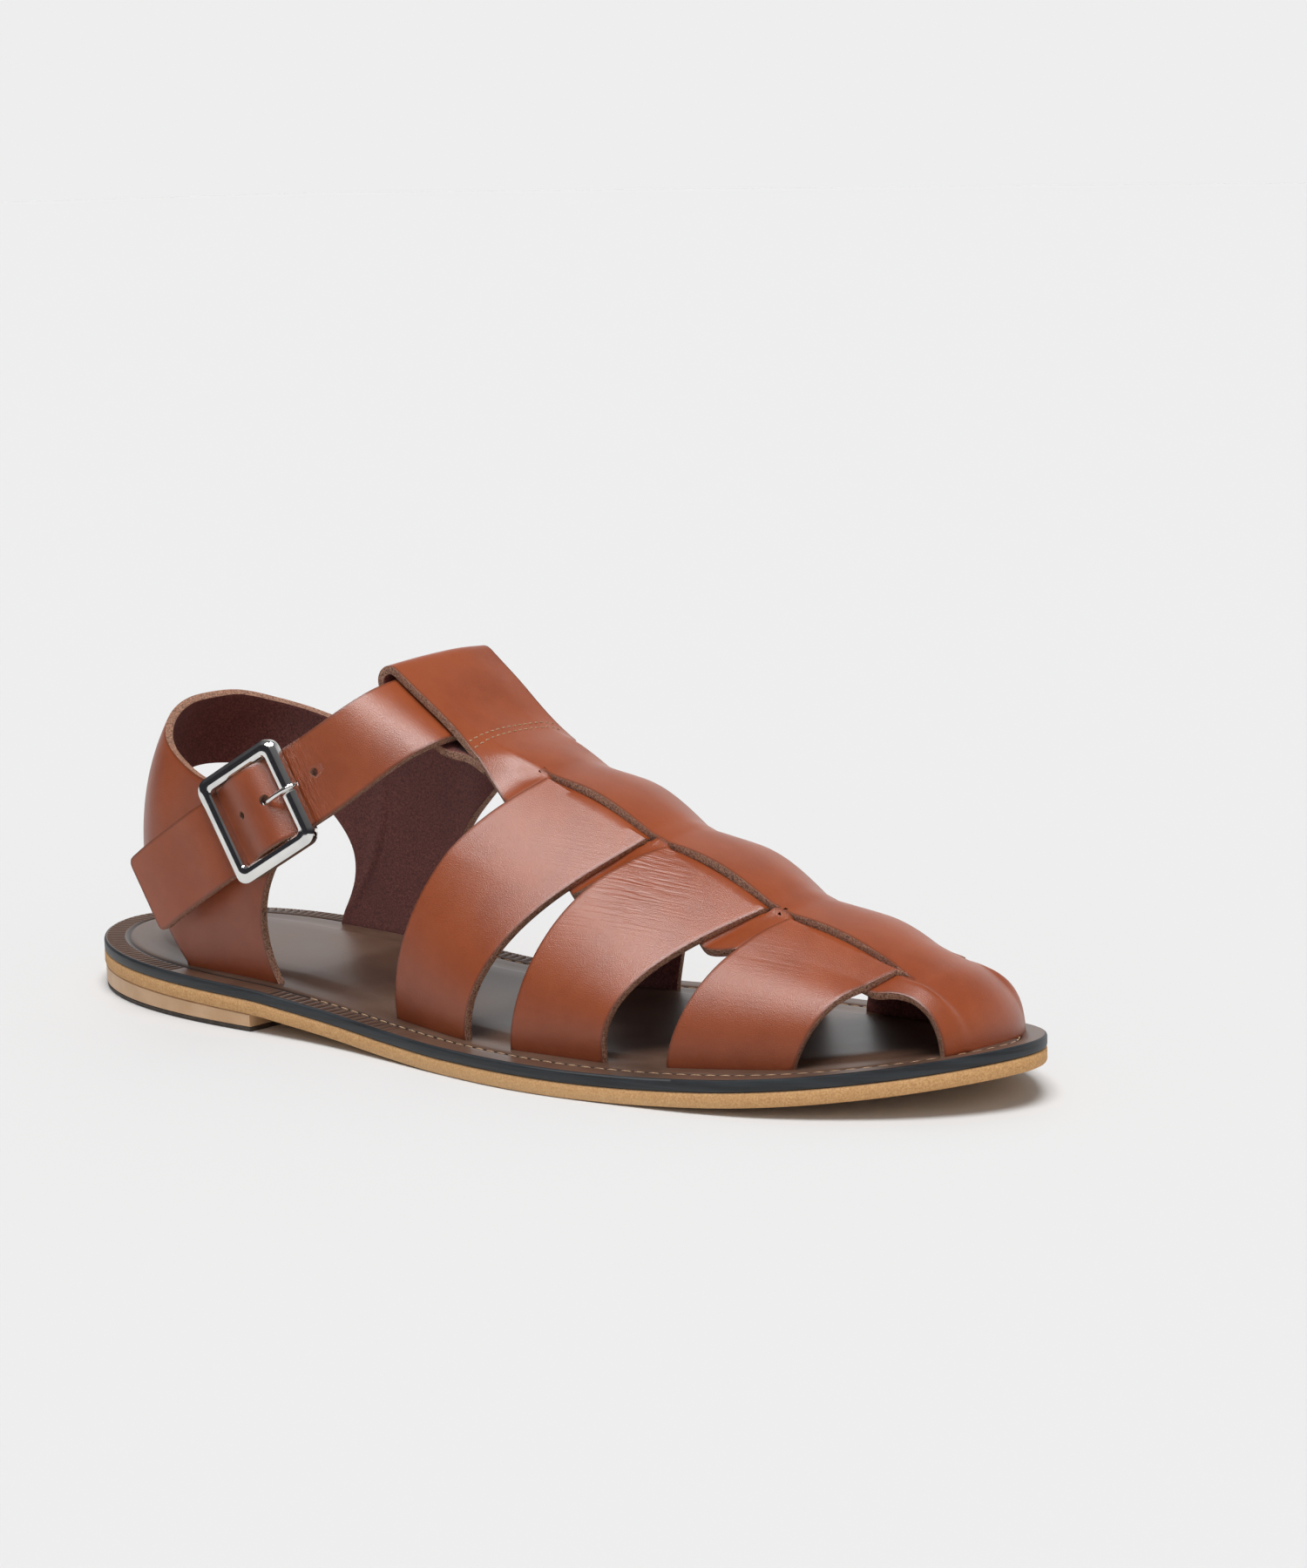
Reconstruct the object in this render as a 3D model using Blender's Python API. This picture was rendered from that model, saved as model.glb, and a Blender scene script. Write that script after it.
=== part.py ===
import math

import bmesh
import bpy
import numpy as np
from mathutils import Vector

for old in list(bpy.data.objects):
    bpy.data.objects.remove(old, do_unlink=True)

# Right fisherman sandal, standing empty on the floor
# Millimetres: x from the back of the heel to the toe, y to the inner side of the foot, z up
UNIT = 0.001
CENTRE_X = 147.2
CENTRE_Y = -1.0
LEATHER = 2.2
SEAM_GAP = 0.3
LOOP_GAP = 0.8
LOOP_HALF = 17.0
LOOP_MID = 1.9
LOOP_FOLD = 7
JOIN = 0.4

# Sole layers
OUTSOLE_THICK = 3.5
INSOLE_THICK = 3.0
TOP_PIECE_THICK = 1.2
HEEL_BREAST_X = 89.0
EDGE_ROUND = 0.7
FOOTBED_INSET = 16.0
FOOTBED_RISE = 1.2
OUTLINE_POINTS = 84

# Outline of the rim, from the back of the heel along the outer side to the toe and back
# columns: x, y
OUTLINE = (
    (0.3, -1), (10, -21), (35, -37.5), (74, -44.5), (112, -44.5), (150, -49), (189, -52),
    (216, -48.5), (246, -41), (272, -26), (289, -8), (294, 8), (287, 22), (271, 35),
    (246, 45), (216, 50), (189, 48.5), (150, 40), (110, 34), (69, 35), (30, 33.5), (8, 20),
)

# Underside of the outsole above the floor
# columns: x, rise
UNDERSIDE = (
    (-5, 6.3), (35, 5.6), (68, 5.0), (89, 4.4), (102, 3.3), (120, 1.9), (140, 0.6),
    (160, 0.0), (198, 0.0), (212, 0.2), (230, 1.0), (250, 2.5), (270, 4.8), (300, 9.6),
)

# Where the outer faces of the straps stand on the insole
# columns: x, outer side y, inner side y
FEATHER = (
    (120, -35, 26), (133, -36, 28), (160, -41, 33), (180, -42, 38), (203, -39.5, 40.5),
    (220, -36, 40), (250, -28, 35), (270, -19, 29),
)

# Three side straps, one row for each edge: where it stands, where it meets the slit,
# how the line bends, how far it rises straight, slope at the slit, reach of the slope, bulge
# columns: foot x, inner foot x, slit x, bend, rise, slope, reach, bulge
STRAP_EDGES = (
    (
        (132.7, 138.0, 160.5, 1.80, 0.30, 0.72, 0.46, 4.0),
        (160.4, 166.0, 192.8, 1.60, 0.35, 0.92, 0.50, 3.2),
    ),
    (
        (175.8, 181.0, 198.0, 1.50, 0.37, 0.48, 0.30, 2.6),
        (203.1, 208.0, 229.0, 1.90, 0.37, 0.80, 0.60, 4.0),
    ),
    (
        (219.5, 223.0, 235.0, 1.33, 0.36, 0.45, 0.36, 1.8),
        (250.8, 254.0, 266.0, 1.00, 0.52, 0.32, 0.41, 1.2),
    ),
)

# The inner side of the foot is steeper
INNER_SLOPE = 0.86
INNER_REACH = 0.26
INNER_BULGE = 2.4
INNER_MARGIN = 0.5

# How far the margins lie under the side straps, by side
MARGIN_DROP = {-1: 1.7, 1: 1.1}

# Centre strip: middle line, top height, fall of the margins, how far they sweep back, half width
# columns: x, y, z, fall, sweep, half width
CENTRE_HALF = 11.5
CENTRE_STRIP = (
    (146, 2.2, 73.6, 0.22, 0.30, 18.2), (154, 2.9, 71.0, 0.36, 0.50, 19.6),
    (162, 3.5, 68.4, 0.58, 0.65, 21.0), (176, 3.5, 63.6, 0.80, 0.65, 17.5),
    (190, 3.5, 58.6, 0.85, 0.65, 24.5), (195, 3.5, 56.9, 0.85, 0.65, 28.0),
    (200, 3.5, 55.1, 0.85, 0.65, 24.5), (213, 3.5, 50.3, 0.80, 0.65, 17.0),
    (226, 3.6, 45.6, 0.78, 0.64, 21.6), (232, 3.8, 43.4, 0.78, 0.64, 25.5),
    (238, 4.0, 41.3, 0.72, 0.60, 21.6), (250, 4.8, 37.1, 0.55, 0.40, 17.5),
    (262, 6.0, 33.0, 0.40, 0.00, 19.5),
)

# The strip bows up over each side strap and dips between them, more on the inner side
BOW_UP = 1.4
DIP = 0.6
INNER_TILT = 1.0
INNER_DIP = 2.2

# Toe end of the centre strip, bent down to the insole
# columns: x at the middle, y, z, half width outer, half width inner, share of the sweep
TOE_END = (
    (268, 6.7, 31.0, 18.6, 20.0, 0.25), (273, 7.4, 29.2, 18.2, 20.5, 0.5),
    (277, 8.0, 26.9, 18.2, 21.0, 0.7), (280.2, 8.6, 24.2, 18.6, 21.4, 0.85),
    (282.6, 9.1, 21.2, 19.0, 21.8, 0.95), (284.2, 9.4, 17.8, 19.3, 22.0, 1.0),
    (285.2, 9.5, 13.9, 19.5, 22.0, 1.0),
)
TOE_SWEEP_OUTER = 0.0116
TOE_SWEEP_INNER = 0.0255

# Heel strap with its two legs, up to the loop
# columns: lower edge x, y, z, upper edge x, y, z, bow out, hollow of the section line
FOOT = 0.0
REAR_SHEET = (
    (88.0, -35.2, FOOT, 94.0, -34.6, 47.0, 1.4, 6.0), (82.5, -35.2, FOOT, 89.5, -34.8, 55.0, 1.5, 3.6),
    (75.0, -35.2, FOOT, 83.5, -35.0, 64.0, 1.5, 1.4), (66.0, -35.2, FOOT, 73.0, -33.6, 61.5, 1.4, 0.0),
    (59.0, -35.0, FOOT, 63.5, -31.8, 60.8, 1.4, 0.0), (54.0, -35.2, 17.0, 56.0, -29.6, 62.0, 1.4, 0.0),
    (47.5, -34.0, 23.0, 48.5, -27.0, 64.2, 1.4, 0.0), (37.5, -29.6, 30.5, 38.6, -22.6, 68.6, 1.4, 0.0),
    (27.2, -21.0, 39.0, 31.4, -14.8, 73.6, 1.2, 0.0), (20.4, -10.0, 49.0, 28.6, -5.5, 76.6, 0.8, 0.0),
    (19.0, 2.0, 56.0, 28.8, 3.0, 77.2, 0.4, 0.0), (22.2, 13.0, 56.8, 31.6, 11.0, 77.0, 0.5, 0.0),
    (30.5, 21.5, 55.0, 36.8, 18.8, 74.7, 0.7, 0.0), (42.0, 26.8, 49.0, 43.6, 24.0, 72.2, 0.8, 0.0),
    (52.0, 28.9, 40.5, 52.0, 26.8, 69.6, 0.9, 0.0), (58.8, 29.5, 32.0, 59.5, 28.2, 67.2, 1.0, 0.0),
    (60.6, 29.4, 22.0, 65.0, 28.9, 65.4, 1.2, 0.0), (58.8, 29.0, FOOT, 69.5, 29.2, 64.3, 1.5, 0.0),
    (68.0, 29.2, FOOT, 74.5, 29.3, 63.8, 1.6, 0.0), (79.5, 29.4, FOOT, 80.5, 29.2, 65.4, 1.7, 0.0),
    (90.0, 29.8, FOOT, 87.0, 28.9, 69.5, 1.8, 0.0), (94.6, 30.2, 30.0, 93.0, 28.6, 73.8, 1.6, 0.0),
    (98.5, 30.0, 41.5, 98.8, 28.0, 78.0, 1.4, 0.0), (105.5, 28.6, 49.2, 104.8, 26.4, 82.0, 1.0, 0.0),
    (115.0, 26.8, 57.5, 109.5, 25.0, 85.4, 0.6, 0.0), (124.0, 25.4, 65.4, 113.4, 23.8, 87.8, 0.2, 0.0),
    (131.0, 23.2, 72.0, 115.6, 22.4, 89.2, 0.0, 0.0),
)
# Ankle strap where it runs inside the loop
# columns: as above
IN_LOOP = (
    (134.2, 19.6, 75.8, 116.5, 19.6, 90.0, 0.0, 0.0), (134.8, 10.0, 76.5, 116.6, 10.0, 90.4, 0.0, 0.0),
    (134.8, 0.0, 76.6, 116.2, 0.0, 90.0, 0.0, 0.0), (134.4, -9.5, 76.2, 115.6, -9.5, 89.2, 0.0, 0.0),
    (133.4, -17.0, 75.4, 114.8, -16.8, 88.3, 0.0, 0.0),
)
# Ankle strap between the loop and the buckle
# columns: as above
BESIDE_LOOP = (
    (129.0, -23.6, 72.0, 112.8, -23.6, 86.0, 0.2, 0.0),
)
STRAP_WIDTH = 21.2

# Buckle: middle of its top face, strap slope, turn and lean of its plane
BUCKLE_X, BUCKLE_Y, BUCKLE_Z = 89.6, -41.0, 56.3
BUCKLE_SLOPE = math.radians(32.0)
BUCKLE_TURN = math.radians(15.0)
BUCKLE_LEAN = math.radians(6.0)
BUCKLE_LONG = 26.8
BUCKLE_WIDE = 29.6
WINDOW_LONG = 19.0
WINDOW_WIDE = 22.2
BUCKLE_THICK = 3.0
BUCKLE_BEVEL = 0.9
BAR_RADIUS = 1.3
BAR_DEPTH = 3.9
BAR_WRAP = 1.3
PRONG_RADIUS = 1.05

# Middle line of the prong
# columns: along the strap from the bar, depth under the top of the frame
PRONG_PATH = ((0.0, 6.2), (2.6, 3.0), (5.4, -0.2), (8.6, -1.5), (14.2, -1.4), (16.4, -0.7))

# Strap from the front side of the buckle to the tail
# columns: along the strap from the bar, depth of its outer face under the top of the frame
STRAP_RUN = (
    (19.0, 3.6), (14.0, 3.5), (9.3, 3.5), (6.2, 1.6), (3.2, -1.3), (0.0, -2.2), (-3.2, -1.3),
    (-6.2, 1.6), (-9.3, 3.5), (-14.0, 3.5), (-19.0, 3.4),
)
# columns: middle x, y, z of the tail
TAIL = ((66.4, -42.3, 41.4), (57.6, -42.6, 35.8), (49.4, -42.0, 30.4))

MATERIALS = {
    "outsole_leather": (0.55, 0.36, 0.20, 0.75, 0.0),
    "heel_leather": (0.58, 0.40, 0.24, 0.7, 0.0),
    "heel_rubber": (0.06, 0.045, 0.04, 0.8, 0.0),
    "insole_leather": (0.12, 0.065, 0.045, 0.45, 0.0),
    "strap_leather": (0.30, 0.09, 0.035, 0.42, 0.0),
    "rear_leather": (0.28, 0.085, 0.033, 0.42, 0.0),
    "buckle_metal": (0.75, 0.75, 0.76, 0.12, 1.0),
    "prong_metal": (0.78, 0.78, 0.77, 0.15, 1.0),
}


def smooth(xs, ys):
    # Curve through a table's rows that never swings past them
    xs = np.array(xs, float)
    ys = np.array(ys, float)
    step = np.diff(xs)
    rise = np.diff(ys) / step
    slope = np.zeros(len(xs))
    slope[0] = rise[0]
    slope[-1] = rise[-1]
    for k in range(1, len(xs) - 1):
        if rise[k - 1] * rise[k] > 0:
            a = 2 * step[k] + step[k - 1]
            b = step[k] + 2 * step[k - 1]
            slope[k] = (a + b) / (a / rise[k - 1] + b / rise[k])

    def value(x):
        k = int(np.clip(np.searchsorted(xs, x) - 1, 0, len(step) - 1))
        t = min(max((x - xs[k]) / step[k], 0.0), 1.0)
        keep = (1 + 2 * t) * (1 - t) ** 2 * ys[k] + t * t * (3 - 2 * t) * ys[k + 1]
        lean = t * (1 - t) ** 2 * slope[k] - t * t * (1 - t) * slope[k + 1]
        return keep + step[k] * lean

    return value


def spline(rows, closed=False):
    # Smooth line through points, taken by its share from 0 to 1, with the share of each point
    pts = np.array(rows, float)
    if closed:
        pts = np.vstack([pts, pts[:1]])
    knots = np.concatenate([[0.0], np.cumsum(np.linalg.norm(np.diff(pts, axis=0), axis=1))])
    h = np.diff(knots)
    n = len(pts)
    tie = np.zeros((n, n))
    pull = np.zeros_like(pts)
    for k in range(1, n - 1):
        tie[k, k - 1] = h[k - 1]
        tie[k, k] = 2 * (h[k - 1] + h[k])
        tie[k, k + 1] = h[k]
        pull[k] = 6 * ((pts[k + 1] - pts[k]) / h[k] - (pts[k] - pts[k - 1]) / h[k - 1])
    tie[0, 0] = 1
    if closed:
        tie[0, -1] = -1
        tie[-1, [0, 1, -2, -1]] = [2 * h[0], h[0], h[-1], 2 * h[-1]]
        pull[-1] = 6 * ((pts[1] - pts[0]) / h[0] - (pts[-1] - pts[-2]) / h[-1])
    else:
        tie[-1, -1] = 1
    bend = np.linalg.solve(tie, pull)

    def value(share):
        s = share * knots[-1]
        k = int(np.clip(np.searchsorted(knots, s) - 1, 0, n - 2))
        a = (knots[k + 1] - s) / h[k]
        b = 1 - a
        sag = ((a ** 3 - a) * bend[k] + (b ** 3 - b) * bend[k + 1]) * h[k] ** 2 / 6
        return a * pts[k] + b * pts[k + 1] + sag

    return value, knots / knots[-1]


def column(table, k):
    return smooth([row[0] for row in table], [row[k] for row in table])


underside = column(UNDERSIDE, 1)


def sole_top(x):
    return underside(x) + OUTSOLE_THICK + SEAM_GAP + INSOLE_THICK


def foot_level(x):
    return sole_top(x) + SEAM_GAP


def to_row(p):
    return ((p[0] - CENTRE_X) * UNIT, (p[1] - CENTRE_Y) * UNIT, p[2] * UNIT)


def finish(name, bm, material):
    bmesh.ops.recalc_face_normals(bm, faces=bm.faces)
    mesh = bpy.data.meshes.new(name)
    bm.to_mesh(mesh)
    bm.free()
    obj = bpy.data.objects.new(name, mesh)
    bpy.context.scene.collection.objects.link(obj)
    if material:
        mesh.materials.append(material)
    return obj


def make_material(name):
    red, green, blue, rough, metal = MATERIALS[name]
    made = bpy.data.materials.new(name)
    made.use_nodes = True
    shader = made.node_tree.nodes["Principled BSDF"]
    shader.inputs["Base Color"].default_value = (red, green, blue, 1)
    shader.inputs["Roughness"].default_value = rough
    shader.inputs["Metallic"].default_value = metal
    return made


def helper(obj):
    obj.hide_render = True
    obj.display_type = "WIRE"


def boolean(obj, other, operation):
    change = obj.modifiers.new(operation.lower() + "_" + other.name, "BOOLEAN")
    change.operation = operation
    change.object = other
    change.solver = "EXACT"
    helper(other)


# Sole

outline, _ = spline(OUTLINE, closed=True)


def ring(inset):
    # The rim outline, moved in by the inset
    shares = np.arange(OUTLINE_POINTS) / OUTLINE_POINTS
    pts = np.array([outline(s) for s in shares])
    ahead = np.roll(pts, -1, axis=0) - np.roll(pts, 1, axis=0)
    ahead /= np.linalg.norm(ahead, axis=1)[:, None]
    return pts + inset * np.c_[-ahead[:, 1], ahead[:, 0]]


def layer(levels):
    # Rings from the underside to the top, bridged, and closed across from side to side
    bm = bmesh.new()
    rings = []
    for inset, height in levels:
        rings.append([bm.verts.new(to_row((x, y, height(x)))) for x, y in ring(inset)])
    n = OUTLINE_POINTS
    for low, high in zip(rings, rings[1:]):
        for k in range(n):
            bm.faces.new((low[k], low[(k + 1) % n], high[(k + 1) % n], high[k]))
    for cap in (rings[0], rings[-1]):
        bm.faces.new((cap[0], cap[1], cap[n - 1]))
        bm.faces.new((cap[n // 2 - 1], cap[n // 2], cap[n // 2 + 1]))
        for k in range(1, n // 2 - 1):
            bm.faces.new((cap[k], cap[k + 1], cap[n - k - 1], cap[n - k]))
    return bm


def cut_at_breast(bm):
    everything = bm.verts[:] + bm.edges[:] + bm.faces[:]
    at = to_row((HEEL_BREAST_X, 0, 0))
    made = bmesh.ops.bisect_plane(
        bm, geom=everything, dist=1e-7, plane_co=at, plane_no=(1, 0, 0.06), clear_outer=True
    )
    rim = [e for e in made["geom_cut"] if isinstance(e, bmesh.types.BMEdge)]
    bmesh.ops.holes_fill(bm, edges=rim)


def above(base, extra):
    return lambda x: base(x) + extra


def flat(level):
    return lambda x: level


def build_sole():
    bm = layer((
        (EDGE_ROUND, underside), (0.0, above(underside, EDGE_ROUND)),
        (0.0, above(underside, OUTSOLE_THICK - 0.4)), (0.4, above(underside, OUTSOLE_THICK)),
    ))
    finish("outsole", bm, make_material("outsole_leather"))
    bm = layer((
        (0.6, flat(TOP_PIECE_THICK + SEAM_GAP)), (0.3, flat(TOP_PIECE_THICK + SEAM_GAP + 0.4)),
        (0.3, above(underside, -SEAM_GAP)),
    ))
    cut_at_breast(bm)
    finish("heel_lift", bm, make_material("heel_leather"))
    bm = layer(((0.8, flat(0.0)), (0.5, flat(0.3)), (0.5, flat(TOP_PIECE_THICK))))
    cut_at_breast(bm)
    finish("heel_top_piece", bm, make_material("heel_rubber"))
    low = above(underside, OUTSOLE_THICK + SEAM_GAP)
    bm = layer((
        (0.3, low), (0.0, above(low, 0.4)), (0.0, above(sole_top, -0.6)), (0.6, sole_top),
        (FOOTBED_INSET - 1.0, sole_top), (FOOTBED_INSET, above(sole_top, 0.35)),
        (FOOTBED_INSET + 2.5, above(sole_top, FOOTBED_RISE)),
    ))
    finish("insole", bm, make_material("insole_leather"))


# Leather walls

def wall(name, outer, thick, material=None, foot_rows=(), inner=None):
    # A wall between a grid of outer points and the same grid moved in by the thickness
    outer = np.array(outer)
    along = np.gradient(outer, axis=0)
    across = np.gradient(outer, axis=1)
    normal = np.cross(across, along)
    for k, j in foot_rows:
        normal[k, j, 2] = 0
    normal /= np.linalg.norm(normal, axis=2)[:, :, None]
    if inner is None:
        inner = outer - thick * normal
        for k, j in foot_rows:
            inner[k, j, 2] = outer[k, j, 2]
    rows, columns = outer.shape[:2]
    bm = bmesh.new()
    bmesh.ops.create_grid(bm, x_segments=columns - 1, y_segments=rows - 1, size=0.5)
    place = bm.verts.layers.int.new("place")
    for vert in bm.verts:
        j = round((vert.co.x + 0.5) * (columns - 1))
        k = round((vert.co.y + 0.5) * (rows - 1))
        vert[place] = k * columns + j
    raised = bmesh.ops.extrude_face_region(bm, geom=bm.faces[:], use_keep_orig=True)
    lifted = {item for item in raised["geom"] if isinstance(item, bmesh.types.BMVert)}
    for vert in bm.verts:
        k, j = divmod(vert[place], columns)
        vert.co = to_row(inner[k, j] if vert in lifted else outer[k, j])
    bm.verts.layers.int.remove(place)
    return finish(name, bm, material)


outer_feather = column(FEATHER, 1)
inner_feather = column(FEATHER, 2)
strip_y, strip_z, strip_fall, strip_sweep, strip_half = (column(CENTRE_STRIP, k) for k in range(1, 6))
SLITS = [(rear[2], front[2]) for rear, front in STRAP_EDGES]


def ease(t):
    t = min(max(t, 0.0), 1.0)
    return t * t * (3 - 2 * t)


def in_slit(x):
    # 1 along a slit, 0 on the bridges between the slits
    return max(ease((x - a) / 3.0 + 0.3) * ease((b - x) / 3.0 + 0.3) for a, b in SLITS)


def bow(x):
    # 1 over the middle of a side strap, 0 between the straps
    return max(math.sin(math.pi * min(max((x - a) / (b - a), 0.0), 1.0)) for a, b in SLITS)


def woven(x):
    return ease((x - 148) / 20) * ease((270 - x) / 12)


def strip_top(x):
    return strip_z(x) + woven(x) * (BOW_UP * bow(x) - DIP)


def strip_crown(x, centre):
    # Height across the strip, with the fall to the inner side
    tilt = woven(x) * (INNER_TILT + INNER_DIP * (1 - bow(x))) if centre > 0 else 0.0
    return 0.8 * (1 - centre * centre) - tilt * centre * centre


def strap_edge(row, side, t):
    # Outer face of one strap edge, t from 0 at its foot to 1 beside the slit
    foot = row[0] if side < 0 else row[1]
    slit, power, rise, slope, reach, bulge = row[2:]
    if side > 0:
        slope, reach, bulge = INNER_SLOPE, INNER_REACH, INNER_BULGE
    x = foot + (slit - foot) * t ** power
    y0 = outer_feather(x) if side < 0 else inner_feather(x)
    z0 = foot_level(x)
    y3 = strip_y(x) + side * (CENTRE_HALF + 1.6)
    z3 = strip_top(x) + strip_crown(x, side) - 0.5
    chord = math.hypot(y3 - y0, z3 - z0)
    y1 = y0 + side * bulge
    z1 = z0 + rise * (z3 - z0)
    y2 = y3 + side * math.cos(slope) * reach * chord
    z2 = z3 - math.sin(slope) * reach * chord
    a, b, c, d = (1 - t) ** 3, 3 * (1 - t) ** 2 * t, 3 * (1 - t) * t * t, t ** 3
    return np.array((x, a * y0 + b * y1 + c * y2 + d * y3, a * z0 + b * z1 + c * z2 + d * z3))


def side_strap(rear, front, along=11, across=5):
    # One strap from its outer foot, under the centre strip, to its inner foot
    grid = []
    for t in np.linspace(0, 1, along):
        low, high = strap_edge(rear, -1, t), strap_edge(front, -1, t)
        grid.append([low + (high - low) * u for u in np.linspace(0, 1, across)])
    for share in (-0.86, -0.45, 0.0, 0.45, 0.86):
        line = []
        for u in np.linspace(0, 1, across):
            x = rear[2] + (front[2] - rear[2]) * u
            crown = strip_crown(x, share)
            line.append((x, strip_y(x) + share * CENTRE_HALF, strip_top(x) + crown - LEATHER + JOIN))
        grid.append(line)
    for t in np.linspace(1, 0, along):
        low, high = strap_edge(rear, 1, t), strap_edge(front, 1, t)
        grid.append([low + (high - low) * u for u in np.linspace(0, 1, across)])
    feet = [(k, j) for k in (0, len(grid) - 1) for j in range(across)]
    return grid, feet


ACROSS = (-1.0, -0.5, -0.06, 0.0, 0.0, 0.0, 0.0, 0.0, 0.0, 0.06, 0.5, 1.0)
CENTRE_SHARE = (-1.0, -1.0, -1.0, -0.95, -0.6, -0.2, 0.2, 0.6, 0.95, 1.0, 1.0, 1.0)


def strip_row(x):
    line = []
    for margin, centre in zip(ACROSS, CENTRE_SHARE):
        side = 1 if centre > 0 else -1
        over = abs(margin) * (strip_half(x) - CENTRE_HALF)
        if side > 0 and x > 160:
            over *= INNER_MARGIN
        drop = strip_fall(x) * over + (MARGIN_DROP[side] * in_slit(x) if margin else 0.0)
        crown = strip_crown(x, centre)
        y = strip_y(x) + CENTRE_HALF * centre + side * over
        line.append((x - strip_sweep(x) * over, y, strip_top(x) + crown - drop))
    return line


def toe_row(row):
    x, y, z, outer_half, inner_half, share = row
    line = []
    last = row is TOE_END[-1]
    for margin, centre in zip(ACROSS, CENTRE_SHARE):
        half = outer_half if centre < 0 else inner_half
        side = 1 if centre > 0 else -1
        w = CENTRE_HALF * centre + side * abs(margin) * (half - CENTRE_HALF)
        bend = TOE_SWEEP_OUTER if w < 0 else TOE_SWEEP_INNER
        at = x - share * bend * w * w
        low = foot_level(at)
        height = low if last else low + (z - low) * (1 - 0.25 * (w / half) ** 2)
        line.append((at, y + w, height))
    return line


# Ankle strap and heel strap

along_dir = np.array((
    math.cos(BUCKLE_SLOPE) * math.cos(BUCKLE_TURN),
    math.cos(BUCKLE_SLOPE) * math.sin(BUCKLE_TURN),
    math.sin(BUCKLE_SLOPE),
))
level_out = np.array((math.sin(BUCKLE_TURN), -math.cos(BUCKLE_TURN), 0.0))
level_up = np.cross(along_dir, -level_out)
level_up = level_up if level_up[2] > 0 else -level_up
out_dir = math.cos(BUCKLE_LEAN) * level_out + math.sin(BUCKLE_LEAN) * level_up
wide_dir = math.cos(BUCKLE_LEAN) * level_up - math.sin(BUCKLE_LEAN) * level_out
buckle_mid = np.array((BUCKLE_X, BUCKLE_Y, BUCKLE_Z))


def at_buckle(along, wide, depth):
    # A point by its place along and across the strap, and its depth under the top of the frame
    return buckle_mid + along * along_dir + wide * wide_dir - depth * out_dir


def rear_rows():
    # Lower edge, upper edge and bow of each section, from the buckle tab round to the tail
    rows = []
    for row in REAR_SHEET + IN_LOOP + BESIDE_LOOP:
        low = np.array(row[0:3], float)
        if row[2] == FOOT:
            low[2] = foot_level(low[0])
        rows.append((low, np.array(row[3:6], float), row[6], row[7]))
    for along, depth in STRAP_RUN:
        half = STRAP_WIDTH / 2
        rows.append((at_buckle(along, -half, depth), at_buckle(along, half, depth), 0.0, 0.0))
    for x, y, z in TAIL:
        mid = np.array((x, y, z))
        rows.append((mid - wide_dir * STRAP_WIDTH / 2, mid + wide_dir * STRAP_WIDTH / 2, 0.0, 0.0))
    return rows


def rear_grid(steps=2, across=5):
    rows = rear_rows()
    low, low_shares = spline([r[0] for r in rows])
    high, high_shares = spline([r[1] for r in rows])
    grid = []
    feet = []
    last = len(rows) - 1
    for k in range(last * steps + 1):
        n, t = divmod(k / steps, 1)
        n = int(n)
        m = min(n + 1, last)
        bottom = low(low_shares[n] + (low_shares[m] - low_shares[n]) * t)
        top = high(high_shares[n] + (high_shares[m] - high_shares[n]) * t)
        bow = rows[n][2] * (1 - t) + rows[m][2] * t
        hollow = rows[n][3] * (1 - t) + rows[m][3] * t
        standing = n < len(REAR_SHEET) and REAR_SHEET[n][2] == FOOT
        standing = standing and (t == 0 or (m < len(REAR_SHEET) and REAR_SHEET[m][2] == FOOT))
        if standing:
            bottom[2] = foot_level(bottom[0])
            feet.append((k, 0))
        grid.append((bottom, top, bow, hollow))
    points = np.zeros((len(grid), across, 3))
    for j, u in enumerate(np.linspace(0, 1, across)):
        for k, (bottom, top, bow, hollow) in enumerate(grid):
            points[k, j] = bottom + (top - bottom) * u
    travel = np.gradient(points[:, across // 2], axis=0)
    span = points[:, -1] - points[:, 0]
    out = np.cross(span, travel)
    out /= np.linalg.norm(out, axis=1)[:, None]
    ahead = travel / np.linalg.norm(travel, axis=1)[:, None]
    for j, u in enumerate(np.linspace(0, 1, across)):
        for k, (_, _, bow, hollow) in enumerate(grid):
            points[k, j] += (out[k] * bow + ahead[k] * hollow) * 4 * u * (1 - u)
    return points, feet


def strap_line(y):
    # Lower and upper edge of the ankle strap where it crosses this y inside the loop
    rows = IN_LOOP
    low = smooth([-row[1] for row in rows], [row[0] for row in rows])
    low_z = smooth([-row[1] for row in rows], [row[2] for row in rows])
    high = smooth([-row[4] for row in rows], [row[3] for row in rows])
    high_z = smooth([-row[4] for row in rows], [row[5] for row in rows])
    return np.array((low(-y), low_z(-y))), np.array((high(-y), high_z(-y)))


def strap_frame(y):
    # Edges of the ankle strap in one lengthwise slice, with its directions back and up
    low, high = strap_line(y)
    back = (high - low) / np.linalg.norm(high - low)
    up = np.array((back[1], -back[0]))
    return low, high, back, up if up[1] > 0 else -up


def loop_points(y):
    # Outer face of the loop in one lengthwise slice: over the strap, round the fold, back under it
    low, high, back, up = strap_frame(y)
    over = LOOP_GAP + LEATHER
    mid = high + back * LOOP_GAP - up * LEATHER / 2
    radius = LEATHER / 2 + over
    pts = [low - back * 2.5 + up * over, (low + high) / 2 + up * (over + 0.2), high + up * over]
    for k in range(1, LOOP_FOLD):
        a = math.pi * k / LOOP_FOLD
        pts.append(mid + radius * (math.cos(a) * up + math.sin(a) * back))
    under = LEATHER + over
    pts += [high - up * under, (low + high) / 2 - up * under, low - back * 1.0 - up * under]
    return pts


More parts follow.
